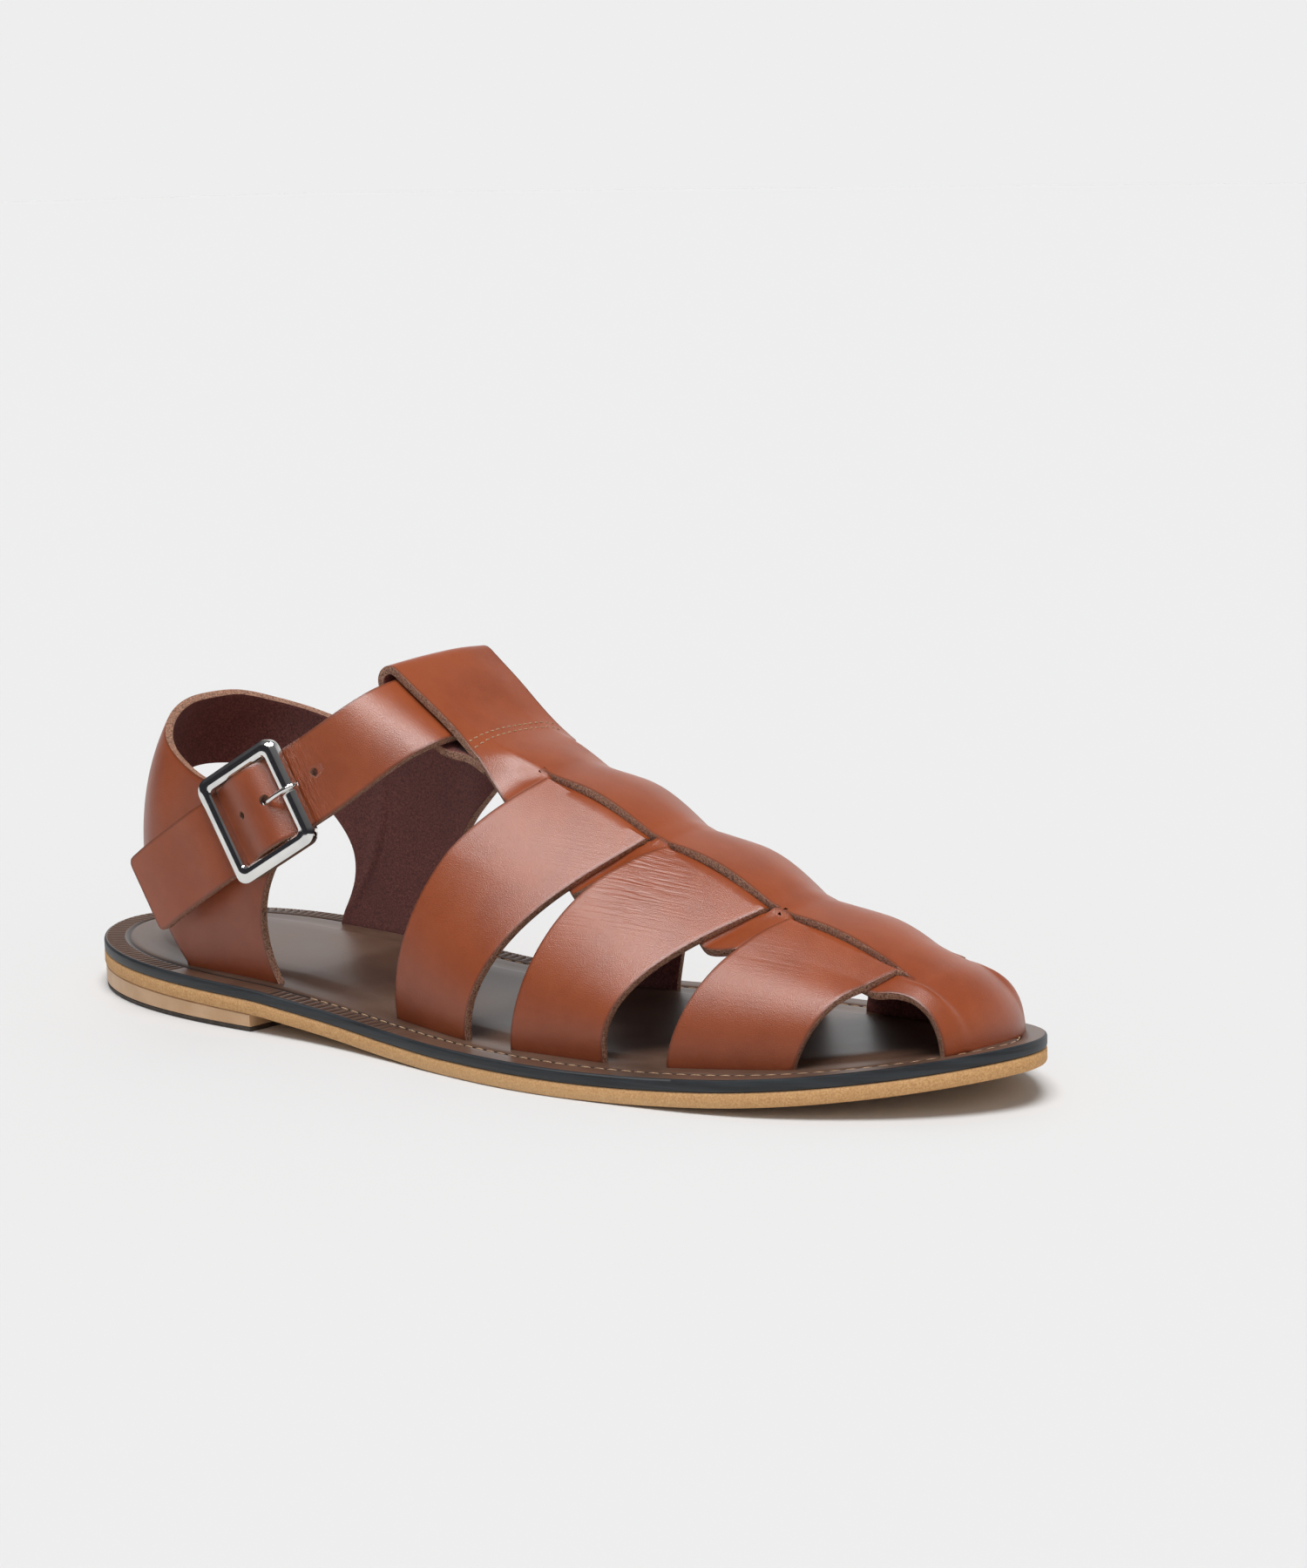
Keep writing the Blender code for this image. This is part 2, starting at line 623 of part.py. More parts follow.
def loop_columns():
    shares = (0.12, 0.35, 0.55, 0.7, 0.85, 1.0)
    return [LOOP_MID + LOOP_HALF * s for s in [-share for share in reversed(shares)] + list(shares)]


def strip_grid():
    grid = [toe_row(row) for row in reversed(TOE_END)]
    stations = [262, 256, 250, 243, 238, 235, 232, 229, 226, 220, 213, 206, 200, 198, 195, 192, 189, 183]
    stations += [176, 169, 163, 159.5, 156, 151, 146]
    grid += [strip_row(x) for x in stations]
    slices = [loop_points(y) for y in loop_columns()]
    for k in range(len(slices[0])):
        grid.append([(s[k][0], y, s[k][1]) for s, y in zip(slices, loop_columns())])
    feet = [(0, j) for j in range(len(ACROSS))]
    return grid, feet


def hem_grid():
    # The folded end under the centre strip, from the loop's lower layer to the stitch rows
    grid = []
    for back_off, depth in ((15.0, 1.85), (9.5, 1.85), (5.5, 3.9), (1.5, None), (-4.0, None)):
        line = []
        for y in loop_columns()[1:-1:3]:
            low, high, back, up = strap_frame(y)
            place = low - back * back_off
            if depth is None:
                spot = place - up * (LEATHER + LOOP_GAP + 0.3)
            else:
                spot = place + up * (LOOP_GAP + LEATHER - depth)
            line.append((spot[0], y, spot[1]))
        grid.append(line)
    return grid


def build_upper():
    leather = make_material("strap_leather")
    grid, feet = strip_grid()
    upper = wall("upper", grid, LEATHER, leather, feet)
    hem = wall("fold_hem", hem_grid(), LEATHER - 0.5)
    boolean(upper, hem, "UNION")
    for number, (rear, front) in enumerate(STRAP_EDGES):
        grid, feet = side_strap(rear, front)
        strap = wall("side_strap_%d" % (number + 1), grid, LEATHER, None, feet)
        boolean(upper, strap, "UNION")


def rod(name, start, end, radius, segments=16, material=None):
    # Round bar between two points
    start = Vector(to_row(start))
    end = Vector(to_row(end))
    turn = (end - start).to_track_quat("Z", "Y").to_matrix().to_4x4()
    turn.translation = (start + end) / 2
    bm = bmesh.new()
    bmesh.ops.create_cone(
        bm, cap_ends=True, segments=segments, radius1=radius * UNIT, radius2=radius * UNIT,
        depth=(end - start).length, matrix=turn,
    )
    return finish(name, bm, material)


def prong_tube(name, radius, segments=10, material=None):
    # Round wire through the prong's path, in the plane along the strap
    bm = bmesh.new()
    path = [at_buckle(along, 0, depth) for along, depth in PRONG_PATH]
    loops = []
    for k, spot in enumerate(path):
        ahead = path[min(k + 1, len(path) - 1)] - path[max(k - 1, 0)]
        ahead /= np.linalg.norm(ahead)
        lift = np.cross(wide_dir, ahead)
        loop = []
        for n in range(segments):
            a = 2 * math.pi * n / segments
            loop.append(bm.verts.new(to_row(spot + radius * (math.cos(a) * wide_dir + math.sin(a) * lift))))
        loops.append(loop)
    for low, high in zip(loops, loops[1:]):
        for n in range(segments):
            m = (n + 1) % segments
            bm.faces.new((low[n], low[m], high[m], high[n]))
    bm.faces.new(loops[0])
    bm.faces.new(loops[-1])
    return finish(name, bm, material)


def build_rear():
    points, feet = rear_grid()
    quarter = wall("quarter", points, LEATHER, make_material("rear_leather"), feet)
    half = STRAP_WIDTH / 2 - 0.2
    hem = rod("tab_hem", at_buckle(0, -half, BAR_DEPTH), at_buckle(0, half, BAR_DEPTH),
              BAR_RADIUS + SEAM_GAP + BAR_WRAP)
    boolean(quarter, hem, "UNION")
    clear = rod("bar_way", at_buckle(0, -half - 3, BAR_DEPTH), at_buckle(0, half + 3, BAR_DEPTH),
                BAR_RADIUS + SEAM_GAP)
    boolean(quarter, clear, "DIFFERENCE")
    slot = prong_tube("prong_way", PRONG_RADIUS + SEAM_GAP)
    boolean(quarter, slot, "DIFFERENCE")


def rounded_rectangle(long, wide, radius, per_corner=4):
    pts = []
    for sx, sy, start in ((1, 1, 0), (-1, 1, 90), (-1, -1, 180), (1, -1, 270)):
        for k in range(per_corner + 1):
            a = math.radians(start + 90 * k / per_corner)
            x = sx * (long / 2 - radius) + radius * math.cos(a)
            y = sy * (wide / 2 - radius) + radius * math.sin(a)
            pts.append((x, y))
    return pts


def build_buckle():
    metal = make_material("buckle_metal")
    bm = bmesh.new()
    b = BUCKLE_BEVEL
    rings = (
        (BUCKLE_LONG, BUCKLE_WIDE, 3.4, b), (BUCKLE_LONG - 2 * b, BUCKLE_WIDE - 2 * b, 2.6, 0.0),
        (WINDOW_LONG + 2 * b, WINDOW_WIDE + 2 * b, 1.9, 0.0), (WINDOW_LONG, WINDOW_WIDE, 1.2, b),
        (WINDOW_LONG, WINDOW_WIDE, 1.2, BUCKLE_THICK), (BUCKLE_LONG, BUCKLE_WIDE, 3.4, BUCKLE_THICK),
    )
    loops = []
    for long, wide, radius, depth in rings:
        loop = rounded_rectangle(long, wide, radius)
        loops.append([bm.verts.new(to_row(at_buckle(x, y, depth))) for x, y in loop])
    n = len(loops[0])
    for k, low in enumerate(loops):
        high = loops[(k + 1) % len(loops)]
        for m in range(n):
            bm.faces.new((low[m], low[(m + 1) % n], high[(m + 1) % n], high[m]))
    frame = finish("buckle_frame", bm, metal)
    half = WINDOW_WIDE / 2 + 1.6
    bar = rod("centre_bar", at_buckle(0, -half, BAR_DEPTH), at_buckle(0, half, BAR_DEPTH), BAR_RADIUS)
    boolean(frame, bar, "UNION")
    prong = prong_tube("buckle_prong", PRONG_RADIUS, material=make_material("prong_metal"))
    gap = rod("bar_gap", at_buckle(0, -4, BAR_DEPTH), at_buckle(0, 4, BAR_DEPTH), BAR_RADIUS + SEAM_GAP)
    boolean(prong, gap, "DIFFERENCE")


build_sole()
build_upper()
build_rear()
build_buckle()
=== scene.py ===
import math

import bmesh
import bpy
import numpy as np
from mathutils import Matrix, Vector, kdtree
from mathutils.bvhtree import BVHTree


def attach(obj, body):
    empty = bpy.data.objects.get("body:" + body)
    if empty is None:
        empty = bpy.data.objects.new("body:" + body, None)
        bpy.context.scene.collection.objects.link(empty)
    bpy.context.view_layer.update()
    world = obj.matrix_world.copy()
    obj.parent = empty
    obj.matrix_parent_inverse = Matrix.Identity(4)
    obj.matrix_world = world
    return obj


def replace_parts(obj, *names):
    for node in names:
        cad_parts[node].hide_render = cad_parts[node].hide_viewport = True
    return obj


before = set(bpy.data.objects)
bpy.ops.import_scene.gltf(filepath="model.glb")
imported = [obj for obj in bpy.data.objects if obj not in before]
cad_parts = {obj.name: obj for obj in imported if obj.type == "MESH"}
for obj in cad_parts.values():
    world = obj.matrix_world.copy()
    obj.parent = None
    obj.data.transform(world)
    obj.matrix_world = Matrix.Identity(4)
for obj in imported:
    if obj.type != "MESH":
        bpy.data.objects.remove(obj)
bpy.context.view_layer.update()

# sizes are shoe millimetres: x from the back of the heel to the toe, y to the inner side, z up
mm = 0.001
shoeMiddle = np.array((147.2, -1.0, 0.0))
leatherThick = 2.2
edgeRound = 0.32
sunkIn = 0.7  # how far a strap's foot goes into the insole


def toRow(p):
    return (np.asarray(p, float) - shoeMiddle) * mm


def ease(t):
    t = np.clip(t, 0.0, 1.0)
    return t * t * (3 - 2 * t)


def bump(x, middle, width):
    return math.exp(-((x - middle) / width) ** 2)


def unit(v):
    return v / np.linalg.norm(v, axis=-1, keepdims=True)


# curve through a table's rows that never swings past them
def evenCurve(xs, ys):
    xs = np.array(xs, float)
    ys = np.array(ys, float)
    step = np.diff(xs)
    rise = np.diff(ys) / step
    slope = np.zeros(len(xs))
    slope[0] = rise[0]
    slope[-1] = rise[-1]
    for k in range(1, len(xs) - 1):
        if rise[k - 1] * rise[k] > 0:
            a = 2 * step[k] + step[k - 1]
            b = step[k] + 2 * step[k - 1]
            slope[k] = (a + b) / (a / rise[k - 1] + b / rise[k])

    def value(x):
        k = int(np.clip(np.searchsorted(xs, x) - 1, 0, len(step) - 1))
        t = min(max((x - xs[k]) / step[k], 0.0), 1.0)
        keep = (1 + 2 * t) * (1 - t) ** 2 * ys[k] + t * t * (3 - 2 * t) * ys[k + 1]
        lean = t * (1 - t) ** 2 * slope[k] - t * t * (1 - t) * slope[k + 1]
        return keep + step[k] * lean

    return value


def tableCurve(table, column):
    return evenCurve([row[0] for row in table], [row[column] for row in table])


# smooth line through points, and the share of its length at each point
def bentLine(points, closed=False):
    pts = np.array(points, float)
    if closed:
        pts = np.vstack([pts, pts[:1]])
    knots = np.concatenate([[0.0], np.cumsum(np.linalg.norm(np.diff(pts, axis=0), axis=1))])
    h = np.diff(knots)
    n = len(pts)
    tie = np.zeros((n, n))
    pull = np.zeros_like(pts)
    for k in range(1, n - 1):
        tie[k, k - 1] = h[k - 1]
        tie[k, k] = 2 * (h[k - 1] + h[k])
        tie[k, k + 1] = h[k]
        pull[k] = 6 * ((pts[k + 1] - pts[k]) / h[k] - (pts[k] - pts[k - 1]) / h[k - 1])
    tie[0, 0] = 1
    if closed:
        tie[0, -1] = -1
        tie[-1, [0, 1, -2, -1]] = [2 * h[0], h[0], h[-1], 2 * h[-1]]
        pull[-1] = 6 * ((pts[1] - pts[0]) / h[0] - (pts[-1] - pts[-2]) / h[-1])
    else:
        tie[-1, -1] = 1
    bend = np.linalg.solve(tie, pull)

    def value(share):
        s = share * knots[-1]
        k = int(np.clip(np.searchsorted(knots, s) - 1, 0, n - 2))
        a = (knots[k + 1] - s) / h[k]
        b = 1 - a
        sag = ((a ** 3 - a) * bend[k] + (b ** 3 - b) * bend[k + 1]) * h[k] ** 2 / 6
        return a * pts[k] + b * pts[k + 1] + sag

    return value, knots / knots[-1]


# shader maths: a socket with operators
class Wire:
    def __init__(self, tree, socket=None):
        self.tree = tree
        self.socket = socket

    def node(self, kind, settings=None, sockets=None, output=0):
        made = self.tree.nodes.new(kind)
        for key, value in (settings or {}).items():
            setattr(made, key, value)
        for key, value in (sockets or {}).items():
            target = made.inputs[key]
            if isinstance(value, Wire):
                self.tree.links.new(value.socket, target)
            else:
                target.default_value = value
        return Wire(self.tree, made.outputs[output])

    def sum(self, operation, first, second):
        return self.node("ShaderNodeMath", {"operation": operation}, {0: first, 1: second})

    def __add__(self, other):
        return self.sum("ADD", self, other)

    def __radd__(self, other):
        return self.sum("ADD", other, self)

    def __sub__(self, other):
        return self.sum("SUBTRACT", self, other)

    def __rsub__(self, other):
        return self.sum("SUBTRACT", other, self)

    def __mul__(self, other):
        return self.sum("MULTIPLY", self, other)

    def __rmul__(self, other):
        return self.sum("MULTIPLY", other, self)

    def clear(self, low, high):
        return self.node("ShaderNodeMapRange", {"interpolation_type": "SMOOTHSTEP"},
                         {"Value": self, "From Min": low, "From Max": high})

    def mix(self, first, second):
        wired = {0: self, 6: first, 7: second}
        return self.node("ShaderNodeMix", {"data_type": "RGBA"}, wired, output=2)


def colour(red, green, blue):
    return (red, green, blue, 1.0)


# a material; its paint function returns base colour, roughness and bump height
def finishNamed(name, paint, bumpDepth=0.0002, bumpStrength=0.5, **fixed):
    made = bpy.data.materials.new(name)
    made.use_nodes = True
    tree = made.node_tree
    shader = tree.nodes["Principled BSDF"]
    wire = Wire(tree)
    base, rough, height = paint(wire, wire.node("ShaderNodeTexCoord", output=3))
    for key, value in (("Base Color", base), ("Roughness", rough)):
        if isinstance(value, Wire):
            tree.links.new(value.socket, shader.inputs[key])
        else:
            shader.inputs[key].default_value = value
    if height is not None:
        lifted = wire.node("ShaderNodeBump", None,
                           {"Strength": bumpStrength, "Distance": bumpDepth, "Height": height})
        tree.links.new(lifted.socket, shader.inputs["Normal"])
    for key, value in fixed.items():
        shader.inputs[key].default_value = value
    return made


def noise(wire, place, scale, detail=3.0, rough=0.55):
    return wire.node("ShaderNodeTexNoise", None,
                     {"Vector": place, "Scale": scale, "Detail": detail, "Roughness": rough})


def stretched(wire, place, scale):
    return wire.node("ShaderNodeMapping", None, {"Vector": place, "Scale": scale})


def attribute(wire, name):
    return wire.node("ShaderNodeAttribute", {"attribute_name": name}, output=2)


# fine lines across a strap, where its creased attribute says so
def creaseLines(wire, place):
    run = wire.node("ShaderNodeCombineXYZ", None, {0: attribute(wire, "creaseMm") * 1.4})
    slow = stretched(wire, place, (260, 260, 260))
    bent = wire.node("ShaderNodeVectorMath", {"operation": "ADD"}, {0: slow, 1: run})
    return noise(wire, bent, 1, 2).clear(0.36, 0.6) * attribute(wire, "creased")


# grain side of the straps
def grainPaint(wire, place):
    cloudy = noise(wire, place, 45, 4)
    patchy = noise(wire, place, 260, 3)
    speck = noise(wire, place, 4600, 2)
    base = cloudy.clear(0.32, 0.68).mix(colour(0.25, 0.048, 0.0115), colour(0.305, 0.063, 0.0155))
    base = (patchy.clear(0.35, 0.75) * 0.25).mix(base, colour(0.345, 0.08, 0.023))
    base = (speck.clear(0.52, 0.78) * 0.25).mix(base, colour(0.165, 0.031, 0.009))
    rim = 1 - attribute(wire, "edgeMm").clear(0.3, 0.9)
    base = (rim * 0.55).mix(base, colour(0.1, 0.024, 0.009))
    pebble = wire.node("ShaderNodeTexVoronoi", None, {"Vector": place, "Scale": 4200})
    lines = creaseLines(wire, place)
    height = pebble * 0.7 + speck * 0.5 + patchy * 0.4 + lines * 3.0
    rough = 0.27 + cloudy * 0.08 + speck * 0.08
    return base, rough, height


# flesh side: short nap
def fleshPaint(wire, place):
    cloudy = noise(wire, place, 120, 4)
    nap = noise(wire, place, 1900, 4, 0.7)
    base = nap.clear(0.3, 0.72).mix(colour(0.088, 0.021, 0.018), colour(0.265, 0.078, 0.062))
    base = (cloudy.clear(0.35, 0.7) * 0.35).mix(base, colour(0.12, 0.034, 0.031))
    return base, 0.95, nap


# raw cut edge: pale and dark fibres
def rawPaint(wire, place):
    fibre = noise(wire, place, 2300, 4, 0.7)
    tuft = noise(wire, place, 520, 3)
    base = fibre.clear(0.34, 0.66).mix(colour(0.075, 0.031, 0.021), colour(0.5, 0.265, 0.17))
    base = (tuft.clear(0.4, 0.7) * 0.45).mix(base, colour(0.29, 0.115, 0.062))
    return base, 0.85, fibre


def insolePaint(wire, place):
    cloudy = noise(wire, place, 60, 4)
    speck = noise(wire, place, 1800, 3)
    base = cloudy.clear(0.3, 0.7).mix(colour(0.082, 0.042, 0.027), colour(0.122, 0.068, 0.045))
    base = (speck.clear(0.5, 0.75) * 0.4).mix(base, colour(0.05, 0.024, 0.015))
    # painted shade: the insole is darkened where it lies below its top, in the rib grooves and the stitch
    # channel
    base = (attribute(wire, "pressed").clear(0.2, 0.9) * 0.9).mix(base, colour(0.01, 0.0045, 0.003))
    rough = 0.33 + cloudy * 0.12
    return base, rough, speck * 0.6 + cloudy * 0.4


def inkedEdgePaint(wire, place):
    run = noise(wire, stretched(wire, place, (40, 40, 900)), 1, 3)
    base = run.clear(0.3, 0.7).mix(colour(0.006, 0.008, 0.0105), colour(0.022, 0.028, 0.034))
    return base, 0.4 + run * 0.15, run


def outsolePaint(wire, place):
    fibre = noise(wire, place, 2100, 4, 0.65)
    mottle = noise(wire, place, 420, 3)
    height = wire.node("ShaderNodeSeparateXYZ", None, {0: place}, output=2)
    base = fibre.clear(0.25, 0.75).mix(colour(0.46, 0.225, 0.075), colour(0.72, 0.43, 0.19))
    base = (mottle.clear(0.4, 0.7) * 0.3).mix(base, colour(0.5, 0.255, 0.09))
    # painted light: the outsole is lighter within 4 mm of the floor, standing in for light bounced up from
    # the floor
    base = ((1 - height.clear(0.0, 0.004)) * 0.35).mix(base, colour(0.74, 0.5, 0.27))
    return base, 0.8, fibre * 0.7 + mottle * 0.5


def heelPaint(wire, place):
    cloudy = noise(wire, place, 110, 4)
    fine = noise(wire, place, 1600, 3)
    base = cloudy.clear(0.3, 0.7).mix(colour(0.56, 0.34, 0.18), colour(0.66, 0.43, 0.255))
    base = (fine.clear(0.5, 0.8) * 0.25).mix(base, colour(0.5, 0.3, 0.155))
    return base, 0.45, fine * 0.5 + cloudy * 0.5


def rubberPaint(wire, place):
    dust = noise(wire, place, 700, 3)
    return dust.clear(0.35, 0.7).mix(colour(0.03, 0.02, 0.014), colour(0.065, 0.045, 0.033)), 0.7, dust


def nickelPaint(wire, place):
    smear = noise(wire, place, 160, 3)
    base = smear.clear(0.3, 0.7).mix(colour(0.7, 0.7, 0.69), colour(0.82, 0.815, 0.79))
    return base, 0.04 + smear * 0.05, None


def threadPaint(wire, place):
    ply = noise(wire, place, 2600, 2)
    return ply.clear(0.3, 0.7).mix(colour(0.24, 0.135, 0.075), colour(0.5, 0.33, 0.2)), 0.75, ply


finishes = {
    "grain": finishNamed("strapGrain", grainPaint, 0.00012, 0.45, **{"Specular IOR Level": 0.6}),
    "flesh": finishNamed("strapFlesh", fleshPaint, 0.0003, 0.6),
    "raw": finishNamed("rawEdge", rawPaint, 0.0003, 0.7),
    "insole": finishNamed("insoleLeather", insolePaint, 0.0001, 0.35),
    "inked": finishNamed("inkedEdge", inkedEdgePaint, 0.0001, 0.4),
    "outsole": finishNamed("outsoleLeather", outsolePaint, 0.0002, 0.5),
    "heel": finishNamed("heelLeather", heelPaint, 0.0001, 0.4),
    "rubber": finishNamed("heelRubber", rubberPaint, 0.0002, 0.5),
    "nickel": finishNamed("polishedNickel", nickelPaint, Metallic=1.0),
    "thread": finishNamed("stitchThread", threadPaint, 0.0002, 0.6),
}
print("finishes", len(finishes))


# panels of points become one bmesh, sewn where their points meet
def sewPanels(panels, looks=None):
    bm = bmesh.new()
    for number, grid in enumerate(panels):
        grid = np.asarray(grid, float)
        rows, columns = grid.shape[:2]
        made = bmesh.ops.create_grid(bm, x_segments=columns - 1, y_segments=rows - 1, size=0.5)
        placed = toRow(grid)
        for vert in made["verts"]:
            column = round((vert.co.x + 0.5) * (columns - 1))
            row = round((vert.co.y + 0.5) * (rows - 1))
            vert.co = placed[row, column]
        if looks:
            for face in {face for vert in made["verts"] for face in vert.link_faces}:
                face.material_index = looks[number]
    bmesh.ops.remove_doubles(bm, verts=bm.verts, dist=1e-6)
    return bm


def newObject(name, bm, materials):
    mesh = bpy.data.meshes.new(name)
    bm.to_mesh(mesh)
    bm.free()
    for material in materials:
        mesh.materials.append(material)
    made = bpy.data.objects.new(name, mesh)
    bpy.context.scene.collection.objects.link(made)
    return made


def makePiece(name, bm, looks, smoothAngle=40):
    piece = newObject(name, bm, [finishes[look] for look in looks])
    mesh = piece.data
    mesh.polygons.foreach_set("use_smooth", [True] * len(mesh.polygons))
    mesh.set_sharp_from_angle(angle=math.radians(smoothAngle))
    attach(piece, "root")
    print(name, len(mesh.polygons), "faces")
    return piece


# a sheet of leather: grain side as given, raw edge all round, flesh side within; its foot stands upright
def leatherSheet(panels):
    bm = sewPanels(panels)
    bm.normal_update()
    rim = [vert for vert in bm.verts if vert.is_boundary]
    tree = kdtree.KDTree(len(rim))
    for number, vert in enumerate(rim):
        tree.insert(vert.co, number)
    tree.balance()
    edgeLayer = bm.verts.layers.float.new("edgeMm")
    outLayer = bm.verts.layers.float_vector.new("out")
    for vert in bm.verts:
        vert[edgeLayer] = tree.find(vert.co)[2] / mm
        out = vert.normal.copy()
        if vert.co.z < insoleTop(vert.co.x / mm + shoeMiddle[0]) * mm:
            out.z = 0
            out.normalize()
        vert[outLayer] = out
    outer = set(bm.faces)
    raised = bmesh.ops.extrude_face_region(bm, geom=bm.faces[:], use_keep_orig=True)
    inner = {item for item in raised["geom"] if isinstance(item, bmesh.types.BMFace)}
    lifted = [item for item in raised["geom"] if isinstance(item, bmesh.types.BMVert)]
    for vert in lifted:
        vert.co -= Vector(vert[outLayer]) * leatherThick * mm
    for face in bm.faces:
        face.material_index = 0 if face in outer else 2 if face in inner else 1
    bmesh.ops.recalc_face_normals(bm, faces=bm.faces)
    arris = [edge for edge in bm.edges if len({face.material_index for face in edge.link_faces}) > 1]
    bmesh.ops.bevel(bm, geom=arris, offset=edgeRound * mm, segments=2, profile=0.5, affect="EDGES",
                    material=-1, clamp_overlap=True)
    bm.verts.layers.float_vector.remove(outLayer)
    return bm


leatherLooks = ("grain", "raw", "flesh")


# fine creases show in the grain round the given places: x, y, z, reach, share; they run square to across
def markCreases(bm, places, across):
    layer = bm.verts.layers.float.new("creased")
    run = bm.verts.layers.float.new("creaseMm")
    for vert in bm.verts:
        at = np.array(vert.co) / mm + shoeMiddle
        vert[run] = at @ np.array(across)
        vert[layer] = max((share * math.exp(-(np.linalg.norm(at - (x, y, z)) / reach) ** 2)
                           for x, y, z, reach, share in places), default=0.0)


# sole
soleSizes = {
    "outline": (  # x, y round the rim, from the back of the heel along the outer side
        (0.3, -1), (10, -21), (35, -37.5), (74, -44.5), (112, -44.5), (150, -49), (189, -52),
        (216, -48.5), (246, -41), (272, -26), (289, -8), (294, 8), (287, 22), (271, 35),
        (246, 45), (216, 50), (189, 48.5), (150, 40), (110, 34), (69, 35), (30, 33.5), (8, 20),
    ),
    "underside": (  # x, height above the floor
        (-5, 6.3), (35, 5.6), (68, 5.0), (89, 4.4), (102, 3.3), (120, 1.9), (140, 0.6),
        (160, 0.0), (198, 0.0), (212, 0.2), (230, 1.0), (250, 2.5), (270, 4.8), (300, 9.6),
    ),
    "outsole": 3.5,
    "insole": 3.0,
    "seam": 0.06,
    "topPiece": 1.2,
    "breast": 89.0,
    "points": 420,
    "ribs": 279,
    "rimPoints": 2232,  # eight to a rib
    "ribDeep": 0.5,
    "ribFrom": 0.7,
    "ribTo": 5.6,
    "ribFade": (128, 22),  # x where the ribs start to fade, and over what length
    "legFeet": ((57, 95), (54, 94)),  # x of the legs' feet on the outer and inner side, with no ribs
    "channel": 6.5,
    "channelHalf": 0.75,
    "channelDeep": 0.55,
    "footbedInset": 16.0,
    "footbedRise": 1.2,
}

underside = tableCurve(soleSizes["underside"], 1)
outline = bentLine(soleSizes["outline"], closed=True)[0]


def outsoleTop(x):
    return underside(x) + soleSizes["outsole"]


def insoleTop(x):
    return underside(x) + soleSizes["outsole"] + 0.3 + soleSizes["insole"]


def rimRing(inset, count):
    pts = np.array([outline(k / count) for k in range(count)])
    ahead = unit(np.roll(pts, -1, axis=0) - np.roll(pts, 1, axis=0))
    return pts + inset * np.c_[-ahead[:, 1], ahead[:, 0]]


# rings from the underside up, each with its inset and height, as one closed wall panel
def ringPanel(levels, count, lift=None):
    panel = []
    for inset, height in levels:
        ring = [(x, y, height(x)) for x, y in rimRing(inset, count)]
        if lift:
            ring = [(x, y, z + lift(k / count, inset, x, y)) for k, (x, y, z) in enumerate(ring)]
        panel.append(ring + ring[:1])
    return np.array(panel)


# a closed ring filled from side to side
def acrossPanel(ring, across=9):
    count = len(ring) - 1
    panel = []
    for k in range(count // 2 + 1):
        panel.append([ring[k] + (ring[-1 - k] - ring[k]) * u for u in np.linspace(0, 1, across)])
    return np.array(panel)


def above(height, extra):
    return lambda x: height(x) + extra


def closeSole(levels, looks, count, lift=None):
    wall = ringPanel(levels, count, lift)
    bm = sewPanels([wall, acrossPanel(wall[0]), acrossPanel(wall[-1])], looks)
    bmesh.ops.recalc_face_normals(bm, faces=bm.faces)
    return bm


def cutAtBreast(bm):
    at = toRow((soleSizes["breast"], 0, 0))
    everything = bm.verts[:] + bm.edges[:] + bm.faces[:]
    cut = bmesh.ops.bisect_plane(bm, geom=everything, dist=1e-7, plane_co=at,
                                 plane_no=(1, 0, 0.06), clear_outer=True)
    rim = [item for item in cut["geom_cut"] if isinstance(item, bmesh.types.BMEdge)]
    bmesh.ops.holes_fill(bm, edges=rim)
    bmesh.ops.recalc_face_normals(bm, faces=bm.faces)


# ribs pressed into the rim, strong round the heel and the waist, gone under the legs' feet
def ribShare(x, y):
    first, last = soleSizes["legFeet"][0 if y < 0 else 1]
    fade, over = soleSizes["ribFade"]
    beside = ease((x - first) / 3) * ease((last - x) / 3)
    return (1 - beside) * (1 - ease((x - fade) / over))


def rimLift(share, inset, x, y):
    size = soleSizes
    lift = 0.0
    if size["ribFrom"] <= inset <= size["ribTo"]:
        ends = ease((inset - size["ribFrom"]) / 0.3) * ease((size["ribTo"] - inset) / 0.4)
        wave = math.cos(2 * math.pi * share * size["ribs"])
        lift -= ribShare(x, y) * ends * size["ribDeep"] * (0.5 - 0.5 * wave) ** 1.5
    lift -= size["channelDeep"] * bump(inset, size["channel"], size["channelHalf"])
    return lift


